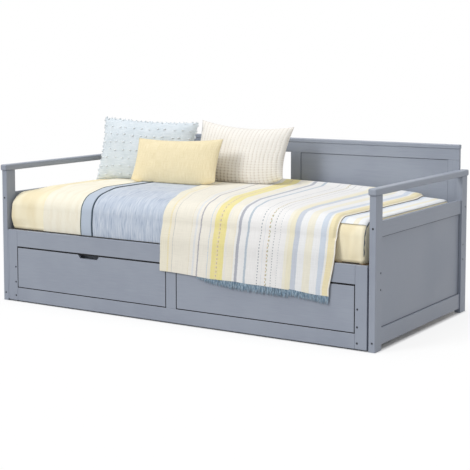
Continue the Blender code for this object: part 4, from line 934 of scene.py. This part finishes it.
def makeQuilt():
    # Channels run front to back: an even cosine across, broken up by lattice noise along
    left, rim = quiltShape["left"], quiltShape["rim"]
    x = stations((left, left + rim, 4), (left + rim, -0.52, 88), (-0.52, 0.82, 24),
                 (0.82, quiltShape["right"], 8))
    X, walk, uv = clothGrid(x, coverWalk(56))
    waver = X + 0.006 * softNoise(X * 9, walk * 14, 21)
    ridge = 0.5 - 0.5 * np.cos(2 * np.pi * (waver - left) / quiltShape["channel"])
    pucker = 0.5 + 0.5 * softNoise(X / 0.011, walk / 0.045, 22)
    level = 0.35 * ridge + 0.65 * pucker
    inside = rise(X, left, 0.02) * rise(X, -0.50, -0.04)
    height = quiltShape["thickness"] - quiltShape["puff"] * (1 - level) * inside
    makeCover(quiltShape, (X, walk, uv), height, level, creamQuilting)


# Each cord: its piece, where it lies, its lift, radius and yarn
blanketShape = dict(
    name="ribbedBlanket", solid="blanket", slot="blanket_cloth", under="creamQuilt",
    cords=[("blanketEdgePiping", "left", 0.0088, 0.0032, "sagePiping"),
           # The band piping is real piping, made thick and dark to carry the painted shade of the
           # fold where the body lies over the band as well
           ("blanketBandPiping", "bodyLeft", 0.0100, 0.0046, "slatePipingAndShade")],
    left=-0.545, bodyLeft=-0.4755, right=0.820, lift=0.0068, thickness=0.0047, middle=0.002,
    rim=0.005, ribPitch=0.0135, ribDepth=0.0016, creaseDepth=0.00064, borderDrop=0.0012,
    bandDrop=0.0022, creaseLine=[(0.0, -0.165), (0.065, -0.162), (0.140, -0.149),
                                 (0.198, -0.124)])


def makeBlanket():
    # Ribs run front to back: a cosine across whose phase and height wander by lattice noise.
    # The left border is a flat band.
    shape = blanketShape
    left, body, rim = shape["left"], shape["bodyLeft"], shape["rim"]
    x = stations((left, left + rim, 4), (left + rim, body - 0.006, 12),
                 (body - 0.006, body + 0.012, 8), (body + 0.012, -0.03, 170),
                 (-0.03, 0.81, 24), (0.81, shape["right"], 6))
    X, walk, uv = clothGrid(x, coverWalk(60))
    waver = 0.55 * softNoise(X * 16, walk * 9, 31) + 0.25 * softNoise(X * 40, walk * 26, 32)
    ridge = 0.5 + 0.5 * np.cos(2 * np.pi * (X / shape["ribPitch"] + waver))
    strength = 0.62 + 0.38 * softNoise(X / 0.03, walk / 0.05, 33)
    small = 0.5 + 0.5 * softNoise(X / 0.006, walk / 0.030, 34)
    broad = 0.5 + 0.5 * softNoise(X / 0.013, walk / 0.075, 35)
    level = np.clip(ridge * strength * 0.34 + small * 0.40 + broad * 0.34, 0.0, 1.0)
    ribbed = rise(X, body, 0.006) * rise(X, -0.03, -0.03)
    creaseX = lineAt(shape["creaseLine"], walk)
    crease = np.exp(-((X - creaseX) / 0.004) ** 2) * rise(walk, 0.26, -0.05)
    band = np.exp(-((X - body) / 0.0035) ** 2)
    height = shape["thickness"] - shape["ribDepth"] * (1 - level) * ribbed
    height = height - shape["borderDrop"] * (X < body) - shape["bandDrop"] * band
    height = height + shape["creaseDepth"] * crease
    makeCover(shape, (X, walk, uv), height, level, blueCotton)


topSheetShape = dict(
    left=0.836, right=0.971, lift=0.0006, thickness=0.0024, wave=0.0010, frontWalk=0.168,
    rearWalk=1.10, seamRadius=0.0011)


def makeTopSheet():
    # A flat sheet tucked in at the right end: the bed's section from its front edge to the back
    shape = topSheetShape
    left, right, front, rear = (shape[key] for key in ("left", "right", "frontWalk", "rearWalk"))
    x = stations((left, left + 0.002, 2), (left + 0.002, right - 0.002, 30),
                 (right - 0.002, right, 2))
    walk = stations((front, front + 0.003, 3), (front + 0.003, rear, 90), (rear, rear + 0.003, 2))
    X, walk, uv = clothGrid(x, walk)
    wave = 1 + softNoise(X * 22, walk * 12, 41)
    lift = shape["lift"] + shape["wave"] * wave * bounded(X, left, right, 0.02)
    outer = onBed(X, walk, lift + shape["thickness"])
    made = makeSheet("bandedTopSheet", outer, onBed(X, walk, lift), uv, bandedCotton)
    # A grey cord along the hem: a seam that also carries the painted shade line at the sheet's
    # front edge
    path = onBed(np.linspace(left, right, 40), front + 0.001, shape["lift"] + shape["thickness"])
    seam = makeCord("topSheetSeam", path, shape["seamRadius"], 8, "greySeamAndShade")
    settle(made)


makeMattress()
makeFootShade()
makeQuilt()
makeBlanket()
makeTopSheet()
print("mattress, quilt, blanket and top sheet made")

# The throw. Pairs such as frontEase are where an eased change starts and over what length.
throwShape = dict(
    left=-0.058, right=0.855, lift=0.0123, thickness=0.0036, hangY=-0.4884, hangFoot=0.170,
    hangTop=0.385, sideTop=0.468, split=0.300, rearFoot=0.452, drift=0.300, driftFrom=-0.445,
    driftRun=0.096, driftPower=1.4, restEdge=0.0042, flare=0.0050, foldDepth=0.00256,
    stripSplit=-0.0300, upperZ=(0.345, 0.126), hangZ=(0.400, 0.150), topZ=(0.44, 0.04),
    lowZ=(0.37, -0.12), flareZ=(0.350, -0.110), edgeX=(0.831, 0.016), edgeZ=(0.452, 0.020),
    foldPitch=0.148, foldStart=1.3, foldNoise=0.043, topWave=0.0004, edgeShade=0.0013)
# The hem and the fringe's ends, as x and z on the front face
hemLine = [(-0.061, 0.244), (0.007, 0.244), (0.146, 0.238), (0.215, 0.233), (0.355, 0.234),
           (0.405, 0.231), (0.491, 0.230), (0.6300, 0.226), (0.6345, 0.230), (0.758, 0.219),
           (0.827, 0.218)]
fringeLine = [(0.146, 0.232), (0.215, 0.214), (0.338, 0.202), (0.491, 0.196), (0.629, 0.194),
              (0.645, 0.202), (0.733, 0.192), (0.827, 0.188)]


def throwSection():
    # The throw's path at no lift: straight down in front of the drawers, eased back onto the
    # bed's side, then the bed's own section to its rear side.
    hangTop, sideTop, hangY = (throwShape[key] for key in ("hangTop", "sideTop", "hangY"))
    kept = ((bedZ > sideTop) | (bedY > 0)) & ~((bedY > 0) & (bedZ < throwShape["rearFoot"]))
    hangZ = np.linspace(throwShape["hangFoot"], hangTop, 60)[:-1]
    easeZ = np.linspace(hangTop, sideTop, 24)[:-1]
    onSide = np.interp(easeZ, bedZ[:40], bedY[:40])
    share = rise(easeZ, hangTop, sideTop - hangTop)
    easeY = hangY * (1 - share) + onSide * share
    y = np.concatenate([np.full(len(hangZ), hangY), easeY, bedY[kept]])
    z = np.concatenate([hangZ, easeZ, bedZ[kept]])
    walk = walked(y, z)
    return y, z, walk, *facing(y, z, walk)


throwY, throwZ, throwWalk, throwFaceY, throwFaceZ = throwSection()


def driftAt(y):  # straight beyond the front edge, with a parabola to lead into it
    run = throwShape["driftRun"]
    past = y - throwShape["driftFrom"]
    into = np.clip(past, 0.0, run)
    return throwShape["drift"] * (into ** 2 / (2 * run) + np.maximum(past - run, 0.0))


def throwAcross(cloth, y, z):
    # Where a lengthwise thread lies: it drifts outwards to the back, most at the left edge, and
    # draws in as it hangs, most at the right edge.
    shape = throwShape
    share = (cloth - shape["left"]) / (shape["right"] - shape["left"])
    drift = driftAt(y) * (1 - share) ** shape["driftPower"]
    start, run = shape["hangZ"]
    down = np.clip((start - z) / run, 0.0, 1.0)
    spread = (0.004 - 0.008 * rise(cloth, 0.70, 0.155)) * rise(z, *shape["upperZ"])
    drawn = (0.008 * rise(cloth, -0.06, 0.15) + 0.020 * rise(cloth, 0.75, 0.105)) * down
    return cloth + spread - drawn - drift


def throwPoints(cloth, walk, extra):  # extra is the height over the throw's underside
    shape = throwShape
    y, z = np.interp(walk, throwWalk, throwY), np.interp(walk, throwWalk, throwZ)
    x = throwAcross(cloth, y, z)
    onTop = rise(z, *shape["topZ"])
    hang = 1 - onTop
    fold = 0.5 + 0.5 * np.sin(2 * np.pi * cloth / shape["foldPitch"] + shape["foldStart"])
    small = 0.5 + 0.5 * softNoise(cloth / shape["foldNoise"], walk * 4 + 3, 51)
    low = 0.35 + 0.65 * rise(z, *shape["lowZ"])
    lift = shape["lift"] + shape["foldDepth"] * (0.6 * fold + 0.4 * small) * hang * low
    lift = lift + shape["topWave"] * softNoise(cloth * 14, walk * 11, 52) * onTop
    lift = lift + shape["flare"] * rise(z, *shape["flareZ"]) * hang
    edge = rise(x, *shape["edgeX"]) * rise(z, *shape["edgeZ"])
    lift = lift - (shape["lift"] - shape["restEdge"]) * edge + extra
    return np.stack([x, y + lift * np.interp(walk, throwWalk, throwFaceY),
                     lifted(x, y, z) + lift * np.interp(walk, throwWalk, throwFaceZ)], axis=-1)


def walkAtHang(z):  # the hanging part of the throw's path starts at its foot, straight up
    return z - throwZ[0]


def hemWalk(cloth):  # where a thread's path starts: at the hem on the front face
    x = throwAcross(cloth, 0 * cloth - 0.5, 0 * cloth + 0.24)
    return walkAtHang(lineAt(hemLine, x))


def throwPart(name, cloth, walk, split):
    # One part of the throw: two layers of the throw's surface, thinner at its own borders
    C = np.broadcast_to(cloth[:, None], walk.shape)
    outer, middle, inner = (throwPoints(C, walk, throwShape["thickness"] * share)
                            for share in (1.0, 0.5, 0.0))
    made = makeSheet(name, outer, inner, np.stack([C, walk], axis=-1), stripedCotton,
                     split=split)
    return made, *sheetSize(middle)


def hungPart(name, cloth, split):  # a part that hangs from the split down to the hem
    foot, top = hemWalk(cloth)[:, None], walkAtHang(throwShape["split"])
    share = stations((0.0, 0.03, 2), (0.03, 1.0, 24))
    return throwPart(name, cloth, foot + (top - foot) * share, split)


def makeThrow():
    left, right, cut = (throwShape[key] for key in ("left", "right", "stripSplit"))
    rear = throwWalk[-1]
    whole = stations((left, left + 0.002, 2), (left + 0.002, 0.80, 170),
                     (0.80, right - 0.002, 20), (right - 0.002, right, 2))
    topWalk = stations((walkAtHang(throwShape["split"]), walkAtHang(0.372), 14),
                       (walkAtHang(0.372), 0.30, 22), (0.30, 0.43, 26), (0.43, 0.62, 20),
                       (0.62, rear - 0.10, 40), (rear - 0.10, rear - 0.002, 14),
                       (rear - 0.002, rear, 2))
    walk = np.broadcast_to(topWalk, (len(whole), len(topWalk)))
    top, topFlat, topArea = throwPart("stripedThrow", whole, walk, ("firstColumn",))
    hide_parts("throw_top", "throw_drop")
    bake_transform(top)
    low = stations((cut, 0.628, 140), (0.628, 0.662, 14), (0.662, right - 0.002, 40),
                   (right - 0.002, right, 2))
    hanging, hangFlat, hangArea = hungPart("throwHanging", low, ("lastColumn", "firstRow"))
    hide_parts("throw_flap")
    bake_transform(hanging)
    strip = stations((left, left + 0.002, 2), (left + 0.002, cut, 8))
    corner, cornerFlat, cornerArea = hungPart("throwCorner", strip, ("lastColumn", "lastRow"))
    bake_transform(corner)
    # Painted shade: a thin brown cord along the throw's right edge stands for the shade at its edge
    edgeWalk = np.linspace(walkAtHang(0.302), rear - 0.004, 130)
    edge = throwPoints(np.full(len(edgeWalk), right), edgeWalk, throwShape["thickness"] / 2)
    edgeShade = makeCord("throwEdgeShade", edge, throwShape["edgeShade"], 8, "brownEdgeShade",
                        body=None)
    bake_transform(edgeShade)
    fringe = makeFringe()


fringeShape = dict(
    strands=300, radius=0.0016, start=0.150, end=0.8245, lean=0.0015, seed=61, side=0.0012,
    tuck=0.006, shorter=0.007, longer=0.005, least=0.008, sway=0.0035, curl=0.0010, row=0.0014,
    front=-0.5018, taper=(0.8, 1.0, 1.05, 0.95, 0.45))


def makeFringe():
    # Loose yarns under the hem: each hangs down with a small seeded sway and its own length
    shape = fringeShape
    random = np.random.default_rng(shape["seed"])
    count = shape["strands"]
    x = np.linspace(shape["start"], shape["end"], count)
    x = x + random.uniform(-shape["side"], shape["side"], count)
    top = lineAt(hemLine, x) + shape["tuck"]
    low = lineAt(fringeLine, x) + random.uniform(-shape["shorter"], shape["longer"], count)
    low = np.minimum(low, top - shape["least"])
    share = np.linspace(0.0, 1.0, len(shape["taper"]))
    sway = random.uniform(-shape["sway"], shape["sway"], (count, 1)) * share ** 1.5
    curl = random.uniform(-shape["curl"], shape["curl"], (count, 1)) * np.sin(np.pi * share * 1.5)
    row = np.where(np.arange(count) % 2, 0.0, shape["row"])[:, None]
    out = row + random.uniform(0.0, 0.0010, (count, 1)) * share + shape["lean"] * share
    lines = np.stack([x[:, None] + sway + curl, shape["front"] - throwShape["flare"] - out,
                      top[:, None] + (low - top)[:, None] * share], axis=-1)
    radii = shape["radius"] * np.array(shape["taper"]) * np.ones((count, 1))
    made = makeTubes("throwFringe", lines, radii, 4, fringeYarn)
    settle(made, "right_drawer")
    return made


makeThrow()
print("throw and fringe made")

# Each pillow: its piece, its measures and angles, and over what share its relief fades at the rim
pillowSizes = {
    "blue": dict(
        name="bluePillow", solid="blue_pillow", slot="blue_pillow_cloth", fill=0.8,
        width=0.563, height=0.326, thickness=0.140, place=(-0.636, 0.139), yaw=8.8, lean=14.5,
        roll=-1.9, drawIn=0.014, sag=0.012, cornerRise=0.0, rightLift=0.0, leftDrop=0.018,
        cells=(176, 112), fade=(0.10, 0.12)),
    "lumbar": dict(
        name="lumbarPillow", solid="lumbar_pillow", slot="yellow_pillow_cloth", fill=0.7,
        width=0.535, height=0.250, thickness=0.094, place=(-0.365, 0.017), yaw=-1.6, lean=21.0,
        roll=1.6, drawIn=0.010, sag=0.014, cornerRise=0.025, rightLift=0.0, leftDrop=0.0,
        cells=(150, 80), fade=(0.10, 0.12)),
    "woven": dict(
        name="wovenPillow", solid="woven_pillow", slot="woven_pillow_cloth", fill=0.7,
        width=0.545, height=0.333, thickness=0.126, place=(-0.105, 0.202), yaw=3.3, lean=21.9,
        roll=-2.4, drawIn=0.018, sag=0.028, cornerRise=0.029, rightLift=0.030, leftDrop=0.0,
        cells=(186, 124), fade=(0.05, 0.07))}
blowing = dict(
    cells=(44, 30), pressure=3.5, frames=24, start=0.88, slack=1.03, crown=2.8, round=0.62,
    dent=0.0012, footZ=0.5766)
blowingCloth = dict(
    quality=8, mass=0.25, tension_stiffness=40.0, compression_stiffness=40.0,
    shear_stiffness=15.0, bending_stiffness=0.5, vertex_group_mass="seam", use_pressure=True,
    uniform_pressure_force=blowing["pressure"])


def faceGrid(cells):  # places on a pillow's face, -1 to 1 across and up
    return np.meshgrid(*(np.linspace(-1, 1, count + 1) for count in cells), indexing="ij")


def blownPillow(width, height, thickness):
    # A filled cover: two crowned faces, a little larger than their seam, blown up as cloth while
    # the seam is held, so that the slack gathers in soft folds. Returns both faces.
    u, v = faceGrid(blowing["cells"])
    power = blowing["crown"]
    depth = (1 - np.abs(u) ** power) * (1 - np.abs(v) ** power)
    depth = depth ** blowing["round"] * thickness / 2
    front = np.stack([u * width / 2, -depth, v * height / 2], axis=-1)
    back = front * np.array([1.0, -1.0, 1.0])
    dent = blowing["dent"] * softNoise(u * 6 + width * 50, v * 4, 78) * (depth > 0)
    front[..., 1] = (front[..., 1] + dent) * blowing["start"]
    back[..., 1] = (back[..., 1] - dent) * blowing["start"]
    bag = makeSheet("blownBag", front, back, np.stack([u, v], axis=-1), yellowCotton)
    places = np.empty(len(bag.data.vertices) * 3)
    bag.data.vertices.foreach_get("co", places)
    bag.shape_key_add(name="sewn")
    slack = bag.shape_key_add(name="slack")
    slack.data.foreach_set("co", places * blowing["slack"])
    slack.value = 0.0
    faces = np.arange(u.size).reshape(u.shape)
    hidden = np.zeros(u.shape, bool)
    hidden[1:-1, 1:-1] = True
    seam = bag.vertex_groups.new(name="seam")
    seam.add(faces[~hidden].tolist(), 1.0, "REPLACE")
    scene = bpy.context.scene
    scene.frame_start, scene.frame_end = 1, blowing["frames"]
    cloth = bag.modifiers.new("blowing", "CLOTH")
    for key, value in blowingCloth.items():
        setattr(cloth.settings, key, value)
    cloth.settings.rest_shape_key = slack
    cloth.settings.effector_weights.gravity = 0.0
    cloth.collision_settings.use_collision = False
    for step in range(1, blowing["frames"] + 1):
        scene.frame_set(step)
    shown = bag.evaluated_get(bpy.context.evaluated_depsgraph_get())
    shown.data.vertices.foreach_get("co", places)
    places = places.reshape(-1, 3)
    backFaces = faces.copy()
    backFaces[hidden] = u.size + np.arange(hidden.sum())
    bpy.data.objects.remove(bag)
    scene.frame_set(1)
    return places[faces], places[backFaces]


def refined(grid, cells):  # a finer grid through the same points: cubic between four of them
    for axis, count in enumerate(cells):
        grid = np.moveaxis(grid, axis, 0)
        padded = np.concatenate([[2 * grid[0] - grid[1]], grid, [2 * grid[-1] - grid[-2]]])
        t = np.linspace(0, len(grid) - 1, count + 1)
        i = np.minimum(t.astype(int), len(grid) - 2)
        f = (t - i).reshape(-1, *[1] * (grid.ndim - 1))
        p0, p1, p2, p3 = (padded[i + k] for k in range(4))
        grid = 0.5 * (2 * p1 + (p2 - p0) * f + (2 * p0 - 5 * p1 + 4 * p2 - p3) * f ** 2
                      + (3 * p1 - p0 - 3 * p2 + p3) * f ** 3)
        grid = np.moveaxis(grid, 0, axis)
    return grid


# What the pillows lie on: the height of each cover, the length over which it starts, the
# throw's left edge and a hair of clearance
underPillows = dict(quilt=0.0063, blanket=0.0053, throw=0.0053, run=0.02, throwLeft=-0.055,
                    clear=0.0004)


def pillowRest(x, y):  # the bed's top with the covers that lie under a place
    covers, run = underPillows["clear"], underPillows["run"]
    for key, left in (("quilt", quiltShape["left"]), ("blanket", blanketShape["left"]),
                      ("throw", underPillows["throwLeft"] - driftAt(y))):
        covers = covers + underPillows[key] * rise(x, left - run, run)
    return bed["edgeTop"] + crownAt(x, y) + covers


def settled(points):  # kept above the bed
    points = points.copy()
    points[..., 2] = np.maximum(points[..., 2], pillowRest(points[..., 0], points[..., 1]))
    return points


def turned(axis, degrees):  # the matrix of a turn about one axis
    one, two = [(1, 2), (2, 0), (0, 1)][axis]
    angle = math.radians(degrees)
    matrix = np.eye(3)
    matrix[[one, two], [one, two]] = math.cos(angle)
    matrix[one, two], matrix[two, one] = -math.sin(angle), math.sin(angle)
    return matrix


def pillowFaces(sizes):
    # The blown shape with its outline drawn to the measured one, sagged along the top, raised at
    # the lower corners, leaned back and settled on the bed.
    half, height = sizes["width"] / 2, sizes["height"]
    faces = blownPillow(sizes["width"], height, sizes["thickness"])
    deepest = max(np.abs(face[..., 1]).max() for face in faces)
    turn = turned(2, sizes["yaw"]) @ turned(0, -sizes["lean"]) @ turned(1, -sizes["roll"])
    place = np.array([*sizes["place"], blowing["footZ"]])
    shaped = []
    for face in faces:
        u, v = faceGrid(blowing["cells"])
        borderX = np.where(u < 0, -face[:1, :, 0], face[-1:, :, 0])
        borderZ = np.where(v < 0, -face[:, :1, 2], face[:, -1:, 2])
        across = face[..., 0] / borderX * (half - sizes["drawIn"] * (1 - v * v))
        up = np.clip(face[..., 2] / borderZ, -1.0, 1.0)
        u = across / half
        upper, lower = (1 + up) / 2, (1 - up) / 2
        level = height * upper - sizes["sag"] * (1 - u * u) * upper
        corner = sizes["cornerRise"] * u ** 4 + sizes["rightLift"] * np.maximum(u, 0.0) ** 2
        level = level + (corner - sizes["leftDrop"] * np.maximum(-u, 0.0) ** 2) * lower ** 2
        depth = face[..., 1] / deepest * sizes["thickness"] / 2
        local = np.stack([across, depth, level], axis=-1)
        shaped.append(settled(refined(place + local @ turn.T, sizes["cells"])))
    return shaped


def clothOnPillow(sizes):  # the cover's own map in metres from its middle
    u, v = faceGrid(sizes["cells"])
    return np.stack([u * sizes["width"] / 2, v * sizes["height"] / 2], axis=-1)


def makePillow(sizes, heights, finish, level=None):
    # Both faces moved square to themselves by the cover's relief, which fades at the rim
    u, v = faceGrid(sizes["cells"])
    fadeU, fadeV = sizes["fade"]
    fade = ease((1 - np.abs(u)) / fadeU) * ease((1 - np.abs(v)) / fadeV)
    front, back = (settled(face + gridNormals(face) * way * (heights * fade)[..., None])
                   for face, way in zip(pillowFaces(sizes), (1, -1)))
    made = makeSheet(sizes["name"], front, back, clothOnPillow(sizes), finish, level=level)
    settle(made, solid=sizes["solid"])
    return front, back


waffle = dict(across=0.0225, up=0.0150, power=3, depth=0.0022, patch=(0.035, 0.030))


def makeWovenPillow():
    # A waffle of cream cells: narrow valleys both ways, each a cosine raised to a power
    sizes = pillowSizes["woven"]
    across, up = np.moveaxis(clothOnPillow(sizes), -1, 0)
    waver = 0.10 * softNoise(across * 30, up * 30, 71)
    upright, rows = ((0.5 + 0.5 * np.cos(2 * np.pi * (place / pitch + waver))) ** waffle["power"]
                     for place, pitch in ((across, waffle["across"]), (up, waffle["up"])))
    low = rise(up, 0.08, -0.20)
    patch = 0.5 + 0.5 * softNoise(across / waffle["patch"][0], up / waffle["patch"][1], 72)
    level = 1 - (0.40 + 0.20 * patch) * upright
    level = level * (1 - (0.24 + 0.34 * low) * (1.1 - 0.5 * patch) * rows)
    makePillow(sizes, waffle["depth"] * (level - 0.5), waffleWeave, level)


lumbarFold = dict(depth=0.0016, middle=-0.08, slant=0.10, width=0.05, soft=0.0014)


def makeLumbarPillow():
    # One soft upright fold near its middle, and faint dents
    u, v = faceGrid(pillowSizes["lumbar"]["cells"])
    off = u - lumbarFold["middle"] + lumbarFold["slant"] * v
    fold = np.exp(-(off / lumbarFold["width"]) ** 2) * lumbarFold["depth"]
    soft = lumbarFold["soft"] * softNoise(u * 4.2, v * 2.6, 81)
    makePillow(pillowSizes["lumbar"], soft - fold, yellowLinen)


knots = dict(
    columns=12, rows=8, halfLength=0.0072, radius=0.0044, seed=91, onTop=22, onSides=12,
    moveI=2.6, moveJ=1.0, moveEdge=2.4, lift=0.0014, clear=0.012, dents=0.0022,
    profile=[(-1.0, 0.35), (-0.62, 0.85), (0.0, 1.0), (0.62, 0.85), (1.0, 0.35)])


def makeBluePillow():
    # The plain cover, then its knots: rows of short thick yarns on both faces and the edges
    sizes = pillowSizes["blue"]
    across, up = sizes["cells"]
    u, v = faceGrid(sizes["cells"])
    heights = knots["dents"] * softNoise(u * 5.0, v * 3.4, 92)
    front, back = makePillow(sizes, heights, paleBlueCotton)
    random = np.random.default_rng(knots["seed"])

    def spots(places, move):  # grid places, each moved a little and rounded
        return (places + random.uniform(-move, move, places.shape)).round().astype(int)

    i, j = np.meshgrid(np.linspace(6, across - 6, knots["columns"]),
                       np.linspace(8, up - 2, knots["rows"]), indexing="ij")
    i, j = spots(i, knots["moveI"]).ravel(), spots(j, knots["moveJ"]).ravel()
    j = np.clip(j, 1, up - 1)
    found = []
    for face, way in ((front, 1), (back, -1)):
        tangent = np.gradient(face, axis=0)
        tangent /= np.linalg.norm(tangent, axis=-1, keepdims=True)
        found.append((face[i, j], (gridNormals(face) * way)[i, j], tangent[i, j]))
    top = spots(np.linspace(4, across - 4, knots["onTop"]), knots["moveEdge"])
    side = spots(np.linspace(16, up - 4, knots["onSides"]), knots["moveEdge"])
    middle = (front + back)[across // 2, up // 2] / 2
    for rows, columns in ((top, -1), (0, side), (-1, side)):
        away = front[rows, columns] - middle
        away[:, 1] *= 0.2
        away /= np.linalg.norm(away, axis=-1, keepdims=True)
        found.append((front[rows, columns], away, np.cross(away, np.array([0.0, -1.0, 0.1]))))
    centres, outward, sideways = (np.concatenate(part) for part in zip(*found))
    clear = centres[:, 2] > pillowRest(centres[:, 0], centres[:, 1]) + knots["clear"]
    centres, outward, sideways = centres[clear], outward[clear], sideways[clear]
    step, thick = np.array(knots["profile"]).T
    lines = centres[:, None] + outward[:, None] * knots["lift"]
    lines = lines + sideways[:, None] * step[:, None] * knots["halfLength"]
    radii = knots["radius"] * thick * random.uniform(0.7, 1.3, (len(centres), 1))
    tufts = makeTubes("bluePillowKnots", lines, radii, 6, yarns["paleBlueYarn"])
    settle(tufts)


makeWovenPillow()
makeLumbarPillow()
makeBluePillow()
print("pillows made")


def makeHeads(name, places, outward, profile, sides, body):
    # Small turned parts: rings of a profile round an axis. Each profile row is radius, height
    # along the axis, and how far the ring is a hexagon.
    places, outward = np.array(places, float), np.array(outward, float)
    outward = np.broadcast_to(outward, places.shape)
    radius, height, hexagon = np.array(profile).T
    angle = np.linspace(0, 2 * np.pi, sides, endpoint=False)
    flat = np.cos(np.pi / 6) / np.cos((angle + np.pi / 6) % (np.pi / 3) - np.pi / 6)
    reach = radius[:, None] * (1 - hexagon[:, None] + hexagon[:, None] * flat)
    guide = np.where(np.abs(outward[:, :1]) > 0.5, np.array([0, 1.0, 0]), np.array([1.0, 0, 0]))
    second = np.cross(outward, guide)
    rim = (guide[:, None, None] * (reach * np.cos(angle))[..., None]
           + second[:, None, None] * (reach * np.sin(angle))[..., None])
    points = places[:, None, None] + rim + outward[:, None, None] * height[:, None, None]
    ends = places[:, None] + outward[:, None] * height[[0, -1]][:, None]
    settle(closedRings(name, points, ends, zinc), body)


boltProfile = [
    (0.0047, -0.0053, 0), (0.0047, -0.0017, 0), (0.0046, -0.0013, 0), (0.0042, -0.0010, 0),
    (0.0030, -0.0010, 0.6), (0.0028, -0.0011, 1), (0.0026, -0.0014, 1), (0.0025, -0.0038, 1)]
screwProfile = [
    (0.0010, -0.0070, 0), (0.0012, -0.0035, 0), (0.0038, -0.0006, 0), (0.0040, -0.0001, 0),
    (0.0038, 0.0001, 0), (0.0017, 0.0001, 0.3), (0.0014, -0.0003, 1), (0.0010, -0.0018, 1)]
# Bolts on the posts' fronts and backs, on their outer sides, and on the pull-out frame's front
bolts = dict(
    postX=1.026, postY=0.500, postZ=(0.039, 0.521), sideX=1.040,
    sides=[(-0.4487, 0.259), (-0.4487, 0.330), (0.4597, 0.259), (0.4597, 0.330), (0.479, 0.511)],
    frameX=0.957, frameY=-0.500, frameZ=(0.031, 0.100, 0.176))
# Screws at both ends of every slat: piece, body, how many slats, first x, height and rows
slatPitch = 0.15667
slatScrews = [
    ("fixedSlatScrews", "base", 13, -0.94, 0.3595, (-0.4487, 0.4597)),
    ("movingSlatScrews", "front_frame", 12, -0.94 + slatPitch / 2, 0.3588, (-0.4717, 0.4164))]


def makeHardware():
    places, outward = [], []
    for side in (-1, 1):
        for z in bolts["postZ"]:
            for end in (-1, 1):
                places.append((side * bolts["postX"], end * bolts["postY"], z))
                outward.append((0, end, 0))
        for y, z in bolts["sides"]:
            places.append((side * bolts["sideX"], y, z))
            outward.append((side, 0, 0))
    makeHeads("cornerBolts", places, outward, boltProfile, 24, "base")
    places = [(side * bolts["frameX"], bolts["frameY"], z)
              for side in (-1, 1) for z in bolts["frameZ"]]
    makeHeads("frameBolts", places, (0, -1, 0), boltProfile, 24, "front_frame")
    for name, body, count, first, z, rows in slatScrews:
        places = [(first + slatPitch * i, y, z) for i in range(count) for y in rows]
        makeHeads(name, places, (0, 0, 1), screwProfile, 12, body)


def makeBars(name, bars, finish, body):
    # Straight strips: each is a box between two opposite corners, with crisp edges
    low, high = np.moveaxis(np.array(bars, float), 1, 0)
    ways = np.array([(0, 0, 0), (1, 0, 0), (1, 1, 0), (0, 1, 0),
                     (0, 0, 1), (1, 0, 1), (1, 1, 1), (0, 1, 1)])
    points = low[:, None] + (high - low)[:, None] * ways
    sides = np.array([(0, 3, 2, 1), (4, 5, 6, 7), (0, 1, 5, 4), (1, 2, 6, 5), (2, 3, 7, 6),
                      (3, 0, 4, 7)])
    quads = (sides[None] + 8 * np.arange(len(low))[:, None, None]).reshape(-1, 4)
    edges = np.stack([quads, np.roll(quads, -1, axis=1)], axis=-1).reshape(-1, 2)
    settle(makePiece(name, points, quads, finish, sharp=edges), body)


def mirrored(way, first, second):  # a pair of x on one side of the bed, smaller first
    return sorted((way * first, way * second))


gapShade = dict(
    front=-0.4993, back=-0.4865, clear=0.0005, bite=0.0016, sideBite=0.0030,
    corners=(0.028, 0.946), floor=0.0715, roof=0.281, sideGap=0.004, lowGap=0.004,
    topGap=0.0075)


def makeGapShade():
    # Painted shade: near-black strips round both drawer openings stand for the shadow deep in the
    # gap. They fill all but a hair of it
    inner, outer = gapShade["corners"]
    floor, roof, bite, wide = (gapShade[key] for key in ("floor", "roof", "bite", "sideBite"))
    side, low, top = (gapShade[key] - gapShade["clear"] for key in ("sideGap", "lowGap", "topGap"))
    bars = []
    for way in (-1, 1):
        for x0, x1, z0, z1 in ((inner, outer, roof - top, roof + bite),
                               (inner, outer, floor - bite, floor + low),
                               (inner - wide, inner + side, floor + low, roof - top),
                               (outer - side, outer + wide, floor + low, roof - top)):
            x0, x1 = mirrored(way, x0, x1)
            bars.append(((x0, gapShade["front"], z0), (x1, gapShade["back"], z1)))
    makeBars("drawerGapShade", bars, yarns["gapShadeDark"], "front_frame")


# Edges of the sunk panels: the plane of the panel, then from where to where both ways
backPanel = dict(face=0.475, inner=0.1365, outer=0.952, low=0.30, high=0.735)
endPanel = dict(face=1.026, front=-0.437, rear=0.437, low=0.093, high=0.481, lip=0.0042)
shadeLine = dict(wide=0.0022, proud=0.0008)


def makePanelShadeLines():
    # Painted shade: a dark strip where each sunk panel meets its rails and stiles stands for the
    # shadow in the recess
    wide, proud = shadeLine["wide"], shadeLine["proud"]
    bars = []
    face, inner, outer, low, high = backPanel.values()
    for way in (-1, 1):
        for x0, x1, z0, z1 in ((inner, outer, high - wide, high),
                               (inner, inner + wide, low, high - wide),
                               (outer - wide, outer, low, high - wide)):
            x0, x1 = mirrored(way, x0, x1)
            bars.append(((x0, face - proud, z0), (x1, face, z1)))
    face, front, rear, low, high, lip = endPanel.values()
    for way in (-1, 1):
        for y0, y1, z0, z1 in ((front, rear, high - lip, high), (front, rear, low, low + wide),
                               (front, front + wide, low + wide, high - lip),
                               (rear - wide, rear, low + wide, high - lip)):
            x0, x1 = mirrored(way, face, face + proud)
            bars.append(((x0, y0, z0), (x1, y1, z1)))
    makeBars("panelShadeLines", bars, yarns["grooveShade"], "base")


# A painted strip on the left front post, which fills the gap beside the pull-out frame
spacer = [((-1.0102, -0.4990, 0.010), (-1.0028, -0.4850, 0.3600))]

makeHardware()
makeGapShade()
makePanelShadeLines()
makeBars("leftPostSpacer", spacer, paints["Z"], "base")
print("bolts, screws and dark edges made")
